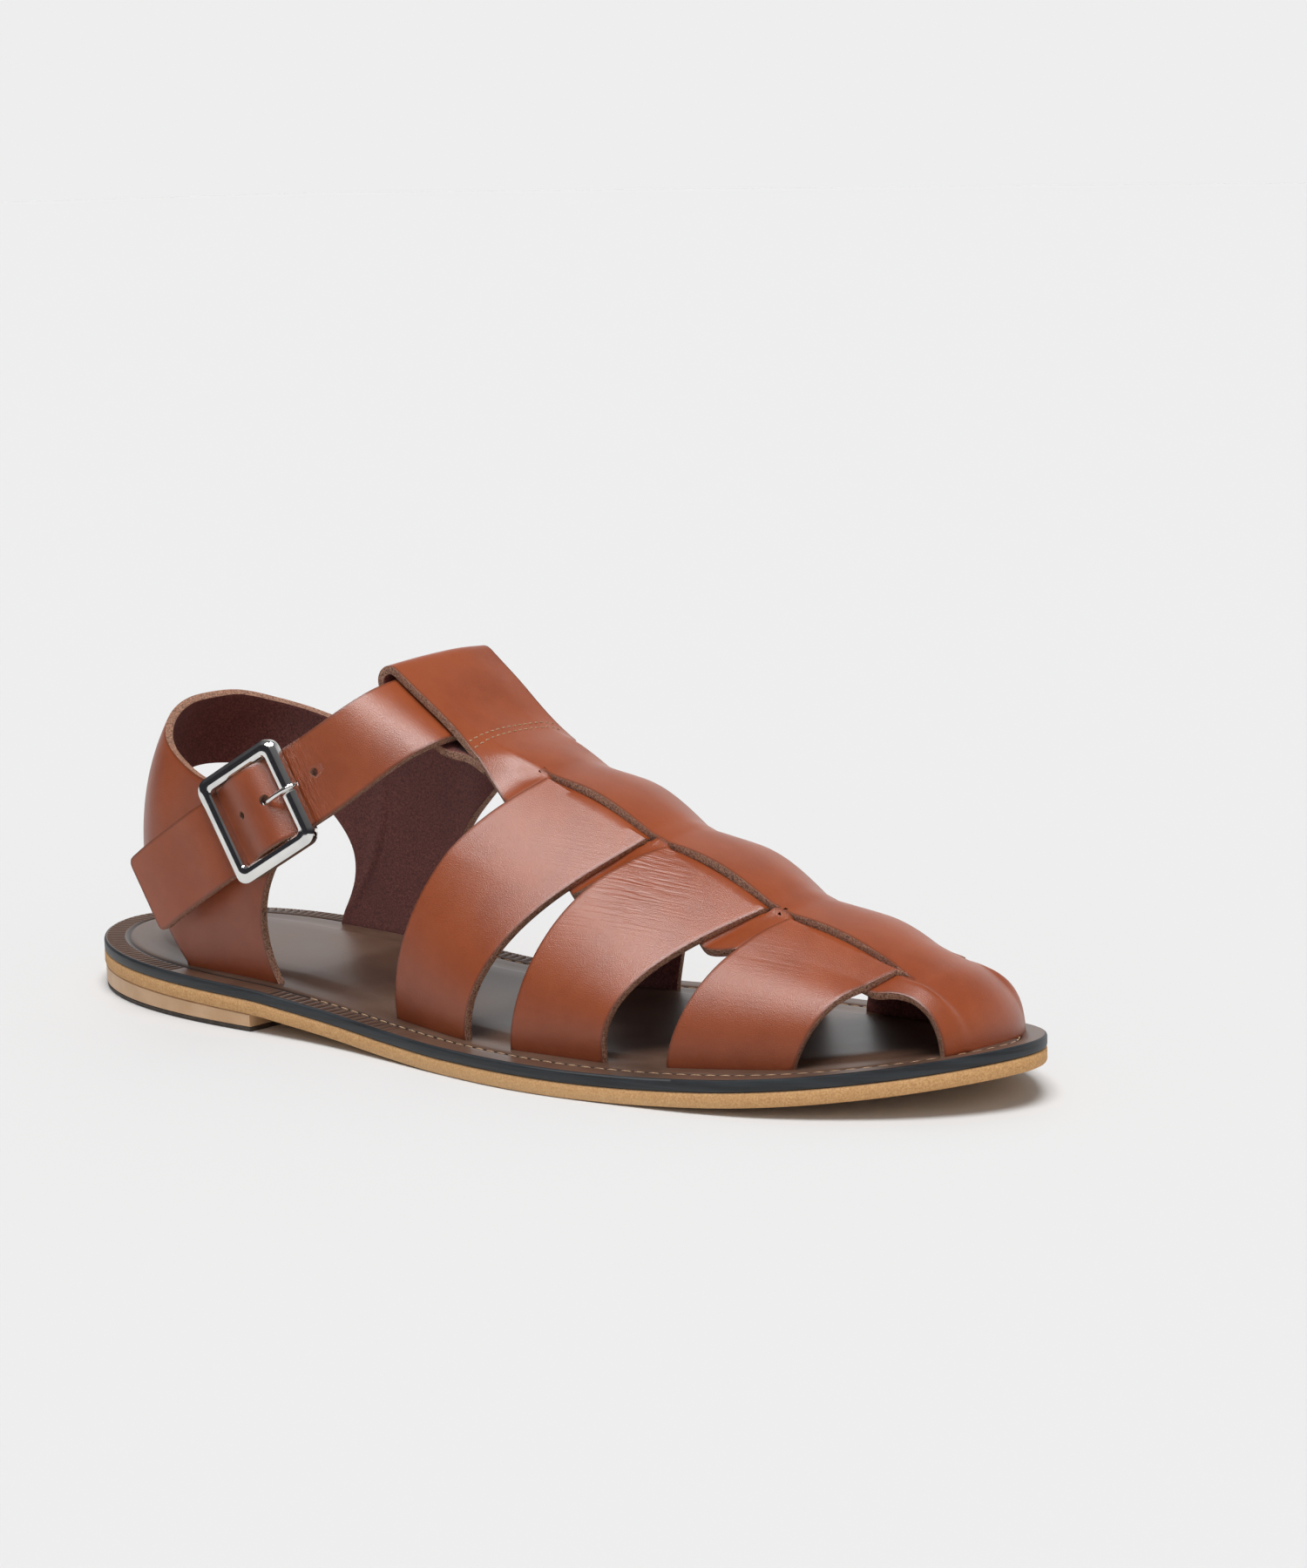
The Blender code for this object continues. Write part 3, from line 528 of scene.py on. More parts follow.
def buildSole():
    size = soleSizes
    bm = closeSole((
        (0.75, underside), (0.25, above(underside, 0.2)), (0.0, above(underside, 0.75)),
        (0.0, above(outsoleTop, -0.35)), (0.12, above(outsoleTop, -0.08)), (0.4, above(outsoleTop, 0.2)),
    ), (0, 0, 0), size["points"])
    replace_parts(makePiece("outsoleLayer", bm, ["outsole"]), "outsole")

    liftLow = size["topPiece"] + size["seam"]
    bm = closeSole((
        (0.5, lambda x: liftLow), (0.3, lambda x: liftLow + 0.2),
        (0.3, above(underside, -0.25)), (0.5, above(underside, -0.02)),
    ), (0, 0, 0), size["points"])
    cutAtBreast(bm)
    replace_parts(makePiece("heelLiftLayer", bm, ["heel"], 30), "heel_lift")

    bm = closeSole((
        (0.8, lambda x: 0.0), (0.5, lambda x: 0.25), (0.4, lambda x: size["topPiece"] - 0.2),
        (0.55, lambda x: size["topPiece"]),
    ), (0, 0, 0), size["points"])
    cutAtBreast(bm)
    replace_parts(makePiece("heelTopPiece", bm, ["rubber"], 30), "heel_top_piece")

    low = above(outsoleTop, 0.22)
    insets = [0.55, size["ribFrom"], 1.0, 2.2, 3.6, 5.2, size["ribTo"]]
    insets += [5.8, 6.05, 6.3, 6.5, 6.7, 6.95, 7.2, 7.7, 8.6, 11.0, size["footbedInset"] - 1]
    edge = ringPanel((
        (0.45, low), (0.1, above(low, 0.3)), (0.0, above(low, 0.7)), (0.0, above(insoleTop, -0.7)),
        (0.15, above(insoleTop, -0.25)), (0.55, insoleTop),
    ), size["rimPoints"])
    levels = [(inset, insoleTop) for inset in insets]
    levels += [(size["footbedInset"], above(insoleTop, 0.35)),
               (size["footbedInset"] + 1.2, above(insoleTop, 0.9)),
               (size["footbedInset"] + 3.0, above(insoleTop, size["footbedRise"]))]
    top = ringPanel(levels, size["rimPoints"], rimLift)
    bm = sewPanels([edge, top, acrossPanel(edge[0], 3), acrossPanel(top[-1], 9)], (1, 0, 1, 0))
    bmesh.ops.recalc_face_normals(bm, faces=bm.faces)
    # depth under the insole's top, which sets the painted shade in the rib grooves and the stitch channel
    pressed = bm.verts.layers.float.new("pressed")
    for vert in bm.verts:
        level = insoleTop(vert.co.x / mm + shoeMiddle[0])
        vert[pressed] = min(max((level - vert.co.z / mm) / size["ribDeep"], 0.0), 1.0)
    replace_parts(makePiece("insoleLayer", bm, ["insole", "inked"]), "insole")


buildSole()

# woven front: three side straps through slits in a centre strip
weave = {
    "feather": (  # x, outer side y, inner side y where the straps stand on the insole
        (120, -35, 26), (133, -36, 28), (160, -41, 33), (180, -42, 38), (203, -39.5, 40.5),
        (220, -36, 40), (250, -28, 35), (270, -19, 29),
    ),
    # rear and front edge of each strap: foot x, inner foot x, slit x, bend, rise, slope, reach, bulge
    "edges": (
        ((132.7, 138.0, 160.5, 1.80, 0.30, 0.72, 0.46, 4.0),
         (160.4, 166.0, 192.8, 1.60, 0.35, 0.92, 0.50, 3.2)),
        ((175.8, 181.0, 198.0, 1.50, 0.37, 0.48, 0.30, 2.6),
         (203.1, 208.0, 229.0, 1.90, 0.37, 0.80, 0.60, 4.0)),
        ((219.5, 223.0, 235.0, 1.33, 0.36, 0.45, 0.36, 1.8),
         (250.8, 254.0, 266.0, 1.00, 0.52, 0.32, 0.41, 1.2)),
    ),
    "inner": {"slope": 0.86, "reach": 0.26, "bulge": 2.4},
    "strip": (  # x, middle y, top z, fall of the margins, how far they sweep back, half width
        (146, 2.2, 73.6, 0.30, 0.30, 18.2), (154, 2.9, 71.0, 0.55, 0.50, 19.2),
        (162, 3.5, 68.4, 0.75, 0.65, 21.2), (176, 3.5, 63.6, 0.80, 0.65, 19.0),
        (190, 3.5, 58.6, 0.85, 0.65, 27.0), (195, 3.5, 56.9, 0.85, 0.65, 28.0),
        (200, 3.5, 55.1, 0.85, 0.65, 27.2), (213, 3.5, 50.3, 0.80, 0.65, 17.0),
        (226, 3.6, 45.6, 0.78, 0.64, 24.4), (232, 3.8, 43.4, 0.78, 0.64, 25.5),
        (238, 4.0, 41.3, 0.72, 0.60, 24.6), (250, 4.8, 37.1, 0.55, 0.40, 17.5),
        (262, 6.0, 33.0, 0.40, 0.00, 19.2),
    ),
    "toe": (  # x, y, z in the middle, half width outer and inner, share of the sweep
        (268, 6.7, 31.0, 18.6, 20.0, 0.25), (273, 7.4, 29.2, 18.3, 20.5, 0.5),
        (277, 8.0, 26.9, 18.4, 21.0, 0.7), (280.2, 8.6, 24.2, 18.6, 21.4, 0.85),
        (282.6, 9.1, 21.2, 19.0, 21.8, 0.95), (284.2, 9.4, 17.8, 19.3, 22.0, 1.0),
        (285.2, 9.5, 13.9, 19.5, 22.0, 1.0),
    ),
    "toeSweep": (0.0116, 0.0255),
    "centreHalf": 11.5,
    "innerMargin": (0.5, 150, 14),  # share of the width left inside, from which x on, over what length
    "woven": ((148, 20), (270, 12)),  # x where the weave's relief starts and ends, and over what length
    "wingUnder": 2.5,  # how far a wing lies under the side straps
    "wingFlush": (0.25, 1.0),  # the same at a strap's rear edge, and at its front edge beside the slit
    "wingEnds": (14.0, 20.0),  # how far a wing runs on behind the first strap and before the last
    "bowUp": 1.4,
    "dip": 0.6,
    "outerDip": 0.8,
    "innerTilt": 1.0,
    "innerDip": 2.2,
    "creased": (  # x, y, z, reach, share: fine wrinkles on each side strap
        ((182.0, -22.0, 52.0, 12.0, 0.12),),
        ((199.0, -22.0, 48.0, 12.0, 0.5), (190.0, -30.0, 40.0, 9.0, 0.2)),
        ((240.0, -22.0, 34.0, 10.0, 0.12),),
    ),
    "creaseAcross": (0.0, -0.8, -0.6),
    "stripCreased": (
        (195.4, -8.5, 56.0, 4.0, 0.35), (232.0, -8.5, 42.5, 4.0, 0.35), (266.5, -6.0, 31.5, 4.0, 0.3),
    ),
    "stripCreaseAcross": (0.8, 0.6, 0.0),
    "slitGap": 0.35,  # how much narrower a strap is than its slit, at each end
    "underGap": 0.15,
    "slitShow": (0.4, 1.3, 2.0),  # how far a strap lies under the strip: rear edge, front edge, inner side
}

outerFeather = tableCurve(weave["feather"], 1)
innerFeather = tableCurve(weave["feather"], 2)
stripY, stripZ, stripFall, stripSweep, stripHalf = (tableCurve(weave["strip"], k) for k in range(1, 6))
slits = [(rear[2], front[2]) for rear, front in weave["edges"]]


def slitShare(x):
    return max(ease((x - a) / 3.0 + 0.25) * ease((b + 1.5 - x) / 2.4 + 0.25) for a, b in slits)


def strapBow(x):
    return max(math.sin(math.pi * min(max((x - a) / (b - a), 0.0), 1.0)) for a, b in slits)


def wovenShare(x):
    (start, rise), (end, fall) = weave["woven"]
    return ease((x - start) / rise) * ease((end - x) / fall)


def stripTop(x):
    return stripZ(x) + wovenShare(x) * (weave["bowUp"] * strapBow(x) - weave["dip"])


def stripCrown(x, centre):
    if centre > 0:
        tilt = weave["innerTilt"] + weave["innerDip"] * (1 - strapBow(x))
    else:
        tilt = weave["outerDip"] * (1 - strapBow(x))
    return 0.8 * (1 - centre * centre) - wovenShare(x) * tilt * centre * centre


# one edge of a side strap, t from 0 at its foot to 1 beside the slit
def strapEdge(row, side, t, inset):
    foot = row[0] if side < 0 else row[1]
    slit, power, rise, slope, reach, bulge = row[2:]
    slit += inset
    if side > 0:
        slope, reach, bulge = (weave["inner"][key] for key in ("slope", "reach", "bulge"))
    x = foot + (slit - foot) * t ** power
    y0 = outerFeather(x) if side < 0 else innerFeather(x)
    z0 = insoleTop(x) + 0.3
    y3 = stripY(x) + side * (weave["centreHalf"] + 1.6)
    z3 = stripTop(x) + stripCrown(x, side) - 0.2
    chord = math.hypot(y3 - y0, z3 - z0)
    y1 = y0 + side * bulge
    z1 = z0 + rise * (z3 - z0)
    y2 = y3 + side * math.cos(slope) * reach * chord
    z2 = z3 - math.sin(slope) * reach * chord
    a, b, c, d = (1 - t) ** 3, 3 * (1 - t) ** 2 * t, 3 * (1 - t) * t * t, t ** 3
    z = a * z0 + b * z1 + c * z2 + d * z3
    z -= weave["slitShow"][2 if side > 0 else int(inset < 0)] * ease((t - 0.45) / 0.55)
    return np.array((x, a * y0 + b * y1 + c * y2 + d * y3, z))


def strapLine(rear, front, side, t, across):
    gap = weave["slitGap"]
    low = strapEdge(rear, side, t, gap)
    high = strapEdge(front, side, t, -gap)
    line = [low + (high - low) * u for u in np.linspace(0, 1, across)]
    if t == 0:
        line = [p - (0, 0, sunkIn + 0.3) for p in line]
    return line


def buildSideStrap(number, rear, front, along=56, across=27):
    gap = weave["slitGap"]
    rows = [strapLine(rear, front, -1, t, across) for t in np.linspace(0, 1, along)]
    for share in np.linspace(-0.9, 0.9, 9):
        line = []
        for u in np.linspace(0, 1, across):
            x = rear[2] + gap + (front[2] - rear[2] - 2 * gap) * u
            level = stripTop(x) + stripCrown(x, share) - leatherThick - weave["underGap"]
            line.append(np.array((x, stripY(x) + share * weave["centreHalf"], level)))
        rows.append(line)
    rows += [strapLine(rear, front, 1, t, across) for t in np.linspace(1, 0, along)]
    bm = leatherSheet([np.array(rows)])
    markCreases(bm, weave["creased"][number], weave["creaseAcross"])
    makePiece("sideStrap%d" % (number + 1), bm, leatherLooks)


for number, (rearEdge, frontEdge) in enumerate(weave["edges"]):
    buildSideStrap(number, rearEdge, frontEdge)

# ankle strap, heel strap and legs
rear = {
    # lower edge x, y, z, upper edge x, y, z, bow out, hollow of the section line; z 0 stands on the insole
    "sheet": (
        (91.2, -35.2, 0.0, 94.0, -34.6, 47.0, 1.4, 6.1), (84.5, -35.2, 0.0, 89.5, -34.8, 55.0, 1.5, 3.85),
        (75.0, -35.2, 0.0, 83.5, -35.0, 64.0, 1.5, 1.4), (66.0, -35.2, 0.0, 73.0, -33.6, 61.5, 1.4, 0.0),
        (57.4, -35.0, 0.0, 63.5, -31.8, 60.8, 1.4, 0.0), (53.4, -35.2, 17.0, 56.0, -29.6, 62.0, 1.4, 0.0),
        (47.5, -34.0, 23.0, 48.5, -27.0, 64.2, 1.4, 0.0), (37.5, -29.6, 30.5, 38.9, -22.6, 68.6, 2.0, 0.0),
        (27.2, -21.0, 39.0, 32.4, -14.8, 73.6, 2.4, 0.0), (20.4, -10.0, 49.0, 29.8, -5.5, 76.6, 2.0, 0.0),
        (19.0, 2.0, 56.0, 29.6, 3.0, 77.2, 1.4, 0.0), (22.2, 13.0, 56.8, 31.6, 11.0, 77.0, 0.5, 0.0),
        (30.5, 21.5, 55.0, 36.8, 18.8, 74.7, 0.7, 0.0), (42.0, 26.8, 49.0, 43.6, 24.0, 72.2, 0.8, 0.0),
        (52.0, 28.9, 40.5, 52.0, 26.8, 69.6, 0.9, 0.0), (57.2, 29.5, 32.0, 59.5, 28.2, 67.2, 0.8, 1.5),
        (56.7, 29.4, 22.0, 65.0, 28.9, 65.4, 0.6, 4.5), (52.2, 29.0, 0.0, 69.5, 29.2, 64.3, 0.5, 7.0),
        (68.0, 29.2, 0.0, 74.5, 29.3, 63.8, 0.8, 3.0), (79.5, 29.4, 0.0, 80.5, 29.2, 65.4, 1.3, 1.0),
        (90.0, 29.8, 0.0, 87.0, 28.9, 69.5, 1.8, 0.0), (94.6, 30.2, 30.0, 93.0, 28.6, 73.8, 1.6, 0.0),
        (98.5, 30.0, 41.5, 98.8, 28.0, 78.0, 1.4, 0.0), (105.5, 28.6, 49.2, 104.8, 26.4, 82.0, 1.0, 0.0),
        (115.0, 26.8, 57.5, 109.5, 25.0, 85.4, 0.6, 0.0), (124.0, 25.4, 65.4, 113.4, 23.8, 87.8, 0.2, 0.0),
        (131.0, 23.2, 72.0, 115.6, 22.4, 89.2, 0.0, 0.0),
    ),
    "inLoop": (
        (134.2, 19.6, 75.8, 116.5, 19.6, 90.0, 0.0, 0.0), (134.8, 10.0, 76.5, 116.6, 10.0, 90.4, 0.0, 0.0),
        (134.8, 0.0, 76.6, 116.2, 0.0, 90.0, 0.0, 0.0), (134.4, -9.5, 76.2, 115.6, -9.5, 89.2, 0.0, 0.0),
        (133.4, -17.0, 75.4, 114.8, -16.8, 88.3, 0.0, 0.0),
    ),
    "besideLoop": ((129.0, -23.6, 72.0, 112.8, -23.6, 86.0, 0.2, 0.0),),
    "width": 21.2,
    # along the strap from the buckle's bar, depth of the outer face under the top of the frame
    "run": (
        (19.0, 3.6), (14.0, 3.5), (9.8, 3.25), (6.7, 0.95), (4.0, -0.6), (1.5, -1.0), (-1.0, -0.8),
        (-3.6, 0.1), (-6.2, 1.4), (-9.7, 3.15), (-14.0, 3.5), (-19.0, 3.4),
    ),
    "tail": ((66.4, -42.3, 41.4), (57.6, -42.6, 35.8), (49.4, -42.0, 30.4)),
    "holes": ((-3.6, 1.05), (4.6, 1.35), (12.2, 1.05), (19.9, 1.05)),  # along the strap, radius
    "tailRound": 2.0,
    "creaseAt": 15.8,  # along the ankle strap, beside the buckle
    "holeUp": 0.9,
}

buckle = {
    "middle": (89.6, -41.0, 56.3),
    "slope": math.radians(32.0),
    "turn": math.radians(15.0),
    "lean": math.radians(8.5),
    "long": 26.8,
    "wide": 29.6,
    "windowLong": 19.0,
    "windowWide": 22.2,
    "thick": 3.0,
    "corner": 3.4,
    "windowCorner": 1.2,
    "outerBevel": (1.15, 1.0),  # across, deep
    "innerBevel": (0.5, 0.45),
    "barRadius": 1.3,
    "barDepth": 3.9,
    "prongRadius": 0.65,
    "prong": (  # along, depth
        (0.0, 6.2), (2.2, 3.8), (4.0, 1.4), (5.4, -0.2), (7.0, -0.75), (12.6, -0.7), (14.0, 0.1), (14.8, 1.0),
    ),
}

alongDir = np.array((
    math.cos(buckle["slope"]) * math.cos(buckle["turn"]),
    math.cos(buckle["slope"]) * math.sin(buckle["turn"]),
    math.sin(buckle["slope"]),
))
levelOut = np.array((math.sin(buckle["turn"]), -math.cos(buckle["turn"]), 0.0))
levelUp = np.cross(alongDir, -levelOut)
levelUp = levelUp if levelUp[2] > 0 else -levelUp
outDir = math.cos(buckle["lean"]) * levelOut + math.sin(buckle["lean"]) * levelUp
wideDir = math.cos(buckle["lean"]) * levelUp - math.sin(buckle["lean"]) * levelOut


# a point by its place along and across the strap, and its depth under the top of the frame
def atBuckle(along, wide, depth):
    return np.array(buckle["middle"]) + along * alongDir + wide * wideDir - depth * outDir


def rearRows():
    rows = []
    for row in rear["sheet"] + rear["inLoop"] + rear["besideLoop"]:
        low = np.array(row[0:3], float)
        if row[2] == 0:
            low[2] = insoleTop(low[0]) + 0.3
        rows.append((low, np.array(row[3:6], float), row[6], row[7], row[2] == 0))
    half = rear["width"] / 2
    for along, depth in rear["run"]:
        rows.append((atBuckle(along, -half, depth), atBuckle(along, half, depth), 0.0, 0.0, False))
    for middle in rear["tail"]:
        middle = np.array(middle)
        rows.append((middle - wideDir * half, middle + wideDir * half, 0.0, 0.0, False))
    return rows


# the tail's corners are a little round
def roundTail(points):
    half = rear["width"] / 2
    end = points[-1, points.shape[1] // 2].copy()
    for line in points[-40:]:
        middle = line[len(line) // 2].copy()
        away = rear["tailRound"] - np.linalg.norm(middle - end)
        if away > 0:
            narrow = (half - rear["tailRound"] + math.sqrt(rear["tailRound"] ** 2 - away ** 2)) / half
            line[:] = middle + (line - middle) * narrow


def rearGrid(steps=8, across=25):
    rows = rearRows()
    last = len(rows) - 1
    stands = [k for k, row in enumerate(rows) if row[4]]
    corners = [0] + [k for k in stands if 0 < k and not (rows[k - 1][4] and rows[k + 1][4])] + [last]
    stretches = {}
    for first, end in zip(corners, corners[1:]):
        line, shares = bentLine([row[0] for row in rows[first:end + 1]])
        stretches.update({k: (line, shares, first) for k in range(first, end)})
    stretches[last] = stretches[last - 1]
    high, highShares = bentLine([row[1] for row in rows])
    sections = []
    for k in range(last * steps + 1):
        n, t = divmod(k / steps, 1)
        n = int(n)
        m = min(n + 1, last)
        line, shares, first = stretches[n]
        bottom = line(shares[n - first] + (shares[m - first] - shares[n - first]) * t)
        top = high(highShares[n] + (highShares[m] - highShares[n]) * t)
        bow = rows[n][2] * (1 - t) + rows[m][2] * t
        hollow = rows[n][3] * (1 - t) + rows[m][3] * t
        if rows[n][4] and (t == 0 or rows[m][4]):
            bottom[2] = insoleTop(bottom[0]) - sunkIn
        sections.append((bottom, top, bow, hollow))
    places = np.linspace(0, 1, across)
    points = np.array([[bottom + (top - bottom) * u for u in places] for bottom, top, _, _ in sections])
    travel = np.gradient(points[:, across // 2], axis=0)
    side = points[:, -1] - points[:, 0]
    out = unit(np.cross(side, travel))
    ahead = unit(np.cross(out, side))
    for j, u in enumerate(places):
        for k, (_, _, bow, hollow) in enumerate(sections):
            points[k, j] += (out[k] * bow + ahead[k] * hollow) * 4 * u * (1 - u)
    return points


# last stretch of the tail again, with rows close enough for its corners
def endRows(points):
    last = [points[-2] + (points[-1] - points[-2]) * t for t in (0.3, 0.55, 0.75, 0.88, 0.96, 1.0)]
    return np.concatenate([points[:-1], np.array(last)])


# punched holes, square to the strap
def punch(piece, points):
    middle = points[:, points.shape[1] // 2]
    along = (middle - np.array(buckle["middle"])) @ alongDir
    onStrap = [k for k in range(len(middle)) if middle[k, 1] < -15 and k > len(middle) // 2]
    for at, radius in rear["holes"]:
        k = min(onStrap, key=lambda n: abs(along[n] - at))
        side = points[k, -1] - points[k, 0]
        out = Vector(np.cross(side, middle[k + 1] - middle[k - 1])).normalized()
        turn = out.to_track_quat("Z", "Y").to_matrix().to_4x4()
        place = middle[k] + unit(side) * rear["holeUp"]
        turn.translation = Vector(toRow(place)) - out * 1.1 * mm
        bm = bmesh.new()
        bmesh.ops.create_cone(bm, cap_ends=True, segments=28, radius1=radius * mm, radius2=radius * mm,
                              depth=3.0 * mm, matrix=turn)
        for face in bm.faces:
            face.material_index = 1
        tool = newObject("punch", bm, [finishes[look] for look in leatherLooks])
        cut = piece.modifiers.new("punch", "BOOLEAN")
        cut.object = tool
        cut.operation = "DIFFERENCE"
        view = bpy.context.evaluated_depsgraph_get()
        punched = bpy.data.meshes.new_from_object(piece.evaluated_get(view))
        piece.modifiers.clear()
        piece.data = punched
        bpy.data.objects.remove(tool, do_unlink=True)


def buildRear():
    points = endRows(rearGrid())
    roundTail(points)
    bm = leatherSheet([points])
    creased = [(*atBuckle(rear["creaseAt"], wide, 3.0), 5.0, 1.0) for wide in (-12, -6, 0, 6, 12)]
    markCreases(bm, creased, alongDir)
    piece = makePiece("rearStrap", bm, leatherLooks)
    punch(piece, points)
    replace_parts(piece, "quarter")


buildRear()


# the leather rolled round the buckle's bar, with a gap for the prong
roll = {"radius": 2.3, "endRadius": 2.05, "bore": 1.45, "soft": 0.3, "spans": ((-9.6, -2.0), (2.0, 9.6))}


def buildBarRoll():
    outer, end, bore, soft = (roll[key] for key in ("radius", "endRadius", "bore", "soft"))
    panels = []
    for low, high in roll["spans"]:
        panel = []
        for radius, wide in ((end, low), (outer, low + soft), (outer, high - soft), (end, high),
                             (bore, high), (bore, low), (end, low)):
            ring = []
            for a in np.linspace(0, 2 * math.pi, 33):
                ring.append(atBuckle(radius * math.cos(a), wide, buckle["barDepth"] + radius * math.sin(a)))
            panel.append(ring)
        panels.append(np.array(panel))
    bm = sewPanels(panels)
    bmesh.ops.recalc_face_normals(bm, faces=bm.faces)
    makePiece("barRoll", bm, ["grain"])


buildBarRoll()


# the strap's slice inside the loop: edges, direction back and direction up
def loopSlice(y):
    rows = rear["inLoop"]
    low = np.array([evenCurve([-row[1] for row in rows], [row[k] for row in rows])(-y) for k in (0, 2)])
    high = np.array([evenCurve([-row[4] for row in rows], [row[k] for row in rows])(-y) for k in (3, 5)])
    back = unit(high - low)
    up = np.array((back[1], -back[0]))
    return low, high, back, up if up[1] > 0 else -up


loop = {"gap": 0.8, "half": 17.0, "middle": 1.9, "fold": 9, "centreShare": 0.6}


# grain side of the loop in one slice: over the strap, round the fold, back under it to the hem
def loopPoints(y):
    low, high, back, up = loopSlice(y)
    over = loop["gap"] + leatherThick
    middle = high + back * loop["gap"] - up * leatherThick / 2
    radius = leatherThick / 2 + over
    pts = [low - back * 2.5 + up * over, (low + high) / 2 + up * (over + 0.2), high + up * over]
    for k in range(1, loop["fold"]):
        a = math.pi * k / loop["fold"]
        pts.append(middle + radius * (math.cos(a) * up + math.sin(a) * back))
    under = leatherThick + over
    pts += [high - up * under, (low + high) / 2 - up * under, low - back * 1.0 - up * under]
    pts += [low - back * 5.0 - up * (under - 1.9), low - back * 9.0 - up * (under - 3.9),
            low - back * 14.0 - up * (under - 4.6)]
    return [(p[0], y, p[1]) for p in pts]


# one line across the strip: panel -1 is the outer margin, 0 the centre, 1 the inner margin
def stripLine(x, panel, across):
    line = []
    for s in across:
        centre = s if panel == 0 else panel
        over = 0.0 if panel == 0 else s * (stripHalf(x) - weave["centreHalf"])
        if panel > 0:
            share, start, run = weave["innerMargin"]
            over *= 1 - (1 - share) * ease((x - start) / run)
        drop = stripFall(x) * over
        y = stripY(x) + weave["centreHalf"] * centre + (panel or 1) * over
        line.append((x - stripSweep(x) * over, y, stripTop(x) + stripCrown(x, centre) - drop))
    return line


def toeLine(row, panel, across):
    x, y, z, outerHalf, innerHalf, share = row
    last = row is weave["toe"][-1]
    line = []
    for s in across:
        w = weave["centreHalf"] * (s if panel == 0 else panel)
        half = outerHalf if (panel < 0 or (panel == 0 and s < 0)) else innerHalf
        if panel:
            w += panel * s * (half - weave["centreHalf"])
        bend = weave["toeSweep"][0 if w < 0 else 1]
        at = x - share * bend * w * w
        low = insoleTop(at) + 0.3
        height = low - 0.3 - sunkIn if last else low + (z - low) * (1 - 0.25 * (w / half) ** 2)
        line.append((at, y + w, height))
    return line


def loopLines(panel, across):
    slices = []
    centre = loop["centreShare"]
    for s in across:
        place = centre * s if panel == 0 else panel * (centre + (1 - centre) * s)
        slices.append(loopPoints(loop["middle"] + loop["half"] * place))
    return [list(line) for line in zip(*slices)]


# extra rows between the given ones, on smooth lines through them
def addRows(rows, counts):
    rows = np.array(rows, float)
    lines = [bentLine(rows[:, j]) for j in range(rows.shape[1])]
    made = []
    for k, count in enumerate(counts):
        for step in range(count):
            t = step / count
            made.append([line(shares[k] + (shares[k + 1] - shares[k]) * t) for line, shares in lines])
    made.append(rows[-1])
    return np.array(made)


# edges of the side straps by their distance out from the slit line: distance, x, z
def edgesOut(side):
    made = []
    for pair in weave["edges"]:
        for row, gap in zip(pair, (weave["slitGap"], -weave["slitGap"])):
            pts = np.array([strapEdge(row, side, t, gap) for t in np.linspace(1, 0.3, 60)])
            out = [abs(y - stripY(x)) - weave["centreHalf"] for x, y, _ in pts]
            made.append((out, pts[:, 0], pts[:, 2]))
    return made


# a wing fills the gap between two straps and sinks under both
def layWing(rows, side):
    rows = rows.copy()
    slitLine = rows[:, -1 if side < 0 else 0].copy()
    edges = edgesOut(side)
    behind, before = weave["wingEnds"]
    under = weave["wingUnder"]
    flush, front = weave["wingFlush"]
    for k, j in np.ndindex(*rows.shape[:2]):
        x, y, z = rows[k, j]
        if x < slits[0][0] - 40 or slitLine[k, 0] < slits[0][0] - behind:
            continue
        out = abs(y - slitLine[k, 1])
        xs = [np.interp(out, edge[0], edge[1]) for edge in edges]
        zs = [np.interp(out, edge[0], edge[2]) for edge in edges]
        knots = []
        for n in (0, 2, 4):
            slope = 3 * (zs[n + 1] - zs[n]) / (xs[n + 1] - xs[n])
            ahead = front + (under - front) * ease(out / 10)
            knots += [(xs[n], zs[n] - flush), (xs[n] + 3, zs[n] + slope - under),
                      (xs[n + 1] - 3, zs[n + 1] - slope - under), (xs[n + 1], zs[n + 1] - ahead)]
        slit = slitShare(slitLine[k, 0])
        level = np.interp(x, *zip(*knots)) - 1.2 * slit * (1 - ease(out / 2))
        share = ease((x - xs[0] + behind) / behind) * ease((xs[-1] + before - x) / before)
        rows[k, j, 2] = z + (level - z) * share * max(slit, ease(out / 3.5))
    return rows


def buildCentreStrip():
    stations = list(np.arange(262, 146, -1.05))
    centreAcross = np.linspace(-1, 1, 25)
    marginAcross = np.linspace(0, 1, 13)
    panels = []
    for panel, across in ((0, centreAcross), (-1, marginAcross[::-1]), (1, marginAcross)):
        rows = [toeLine(row, panel, across) for row in reversed(weave["toe"])]
        rows += [stripLine(x, panel, across) for x in stations]
        rows += loopLines(panel, across)
        if panel == 0:
            reach = np.linalg.norm(np.diff(np.array(rows)[:, len(across) // 2], axis=0), axis=1)
            counts = [max(1, math.ceil(step / 1.4)) for step in reach]
        rows = addRows(rows, counts)
        panels.append(layWing(rows, panel) if panel else rows)
    bm = leatherSheet(panels)
    markCreases(bm, weave["stripCreased"], weave["stripCreaseAcross"])
    tree = BVHTree.FromBMesh(bm)
    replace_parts(makePiece("centreStrip", bm, leatherLooks), "upper")
    return tree


stripTree = buildCentreStrip()

seams = {
    "thread": 0.5,
    "stitch": 1.35,
    "pitch": 2.05,
    "sunk": 0.12,
    "stripRows": (139.9, 141.9),  # x of the two rows across the strip
    "stripHalf": 16.0,
    "insolePitch": 3.7,
    "insoleStitch": 2.9,
    "insoleFrom": 104.0,
}


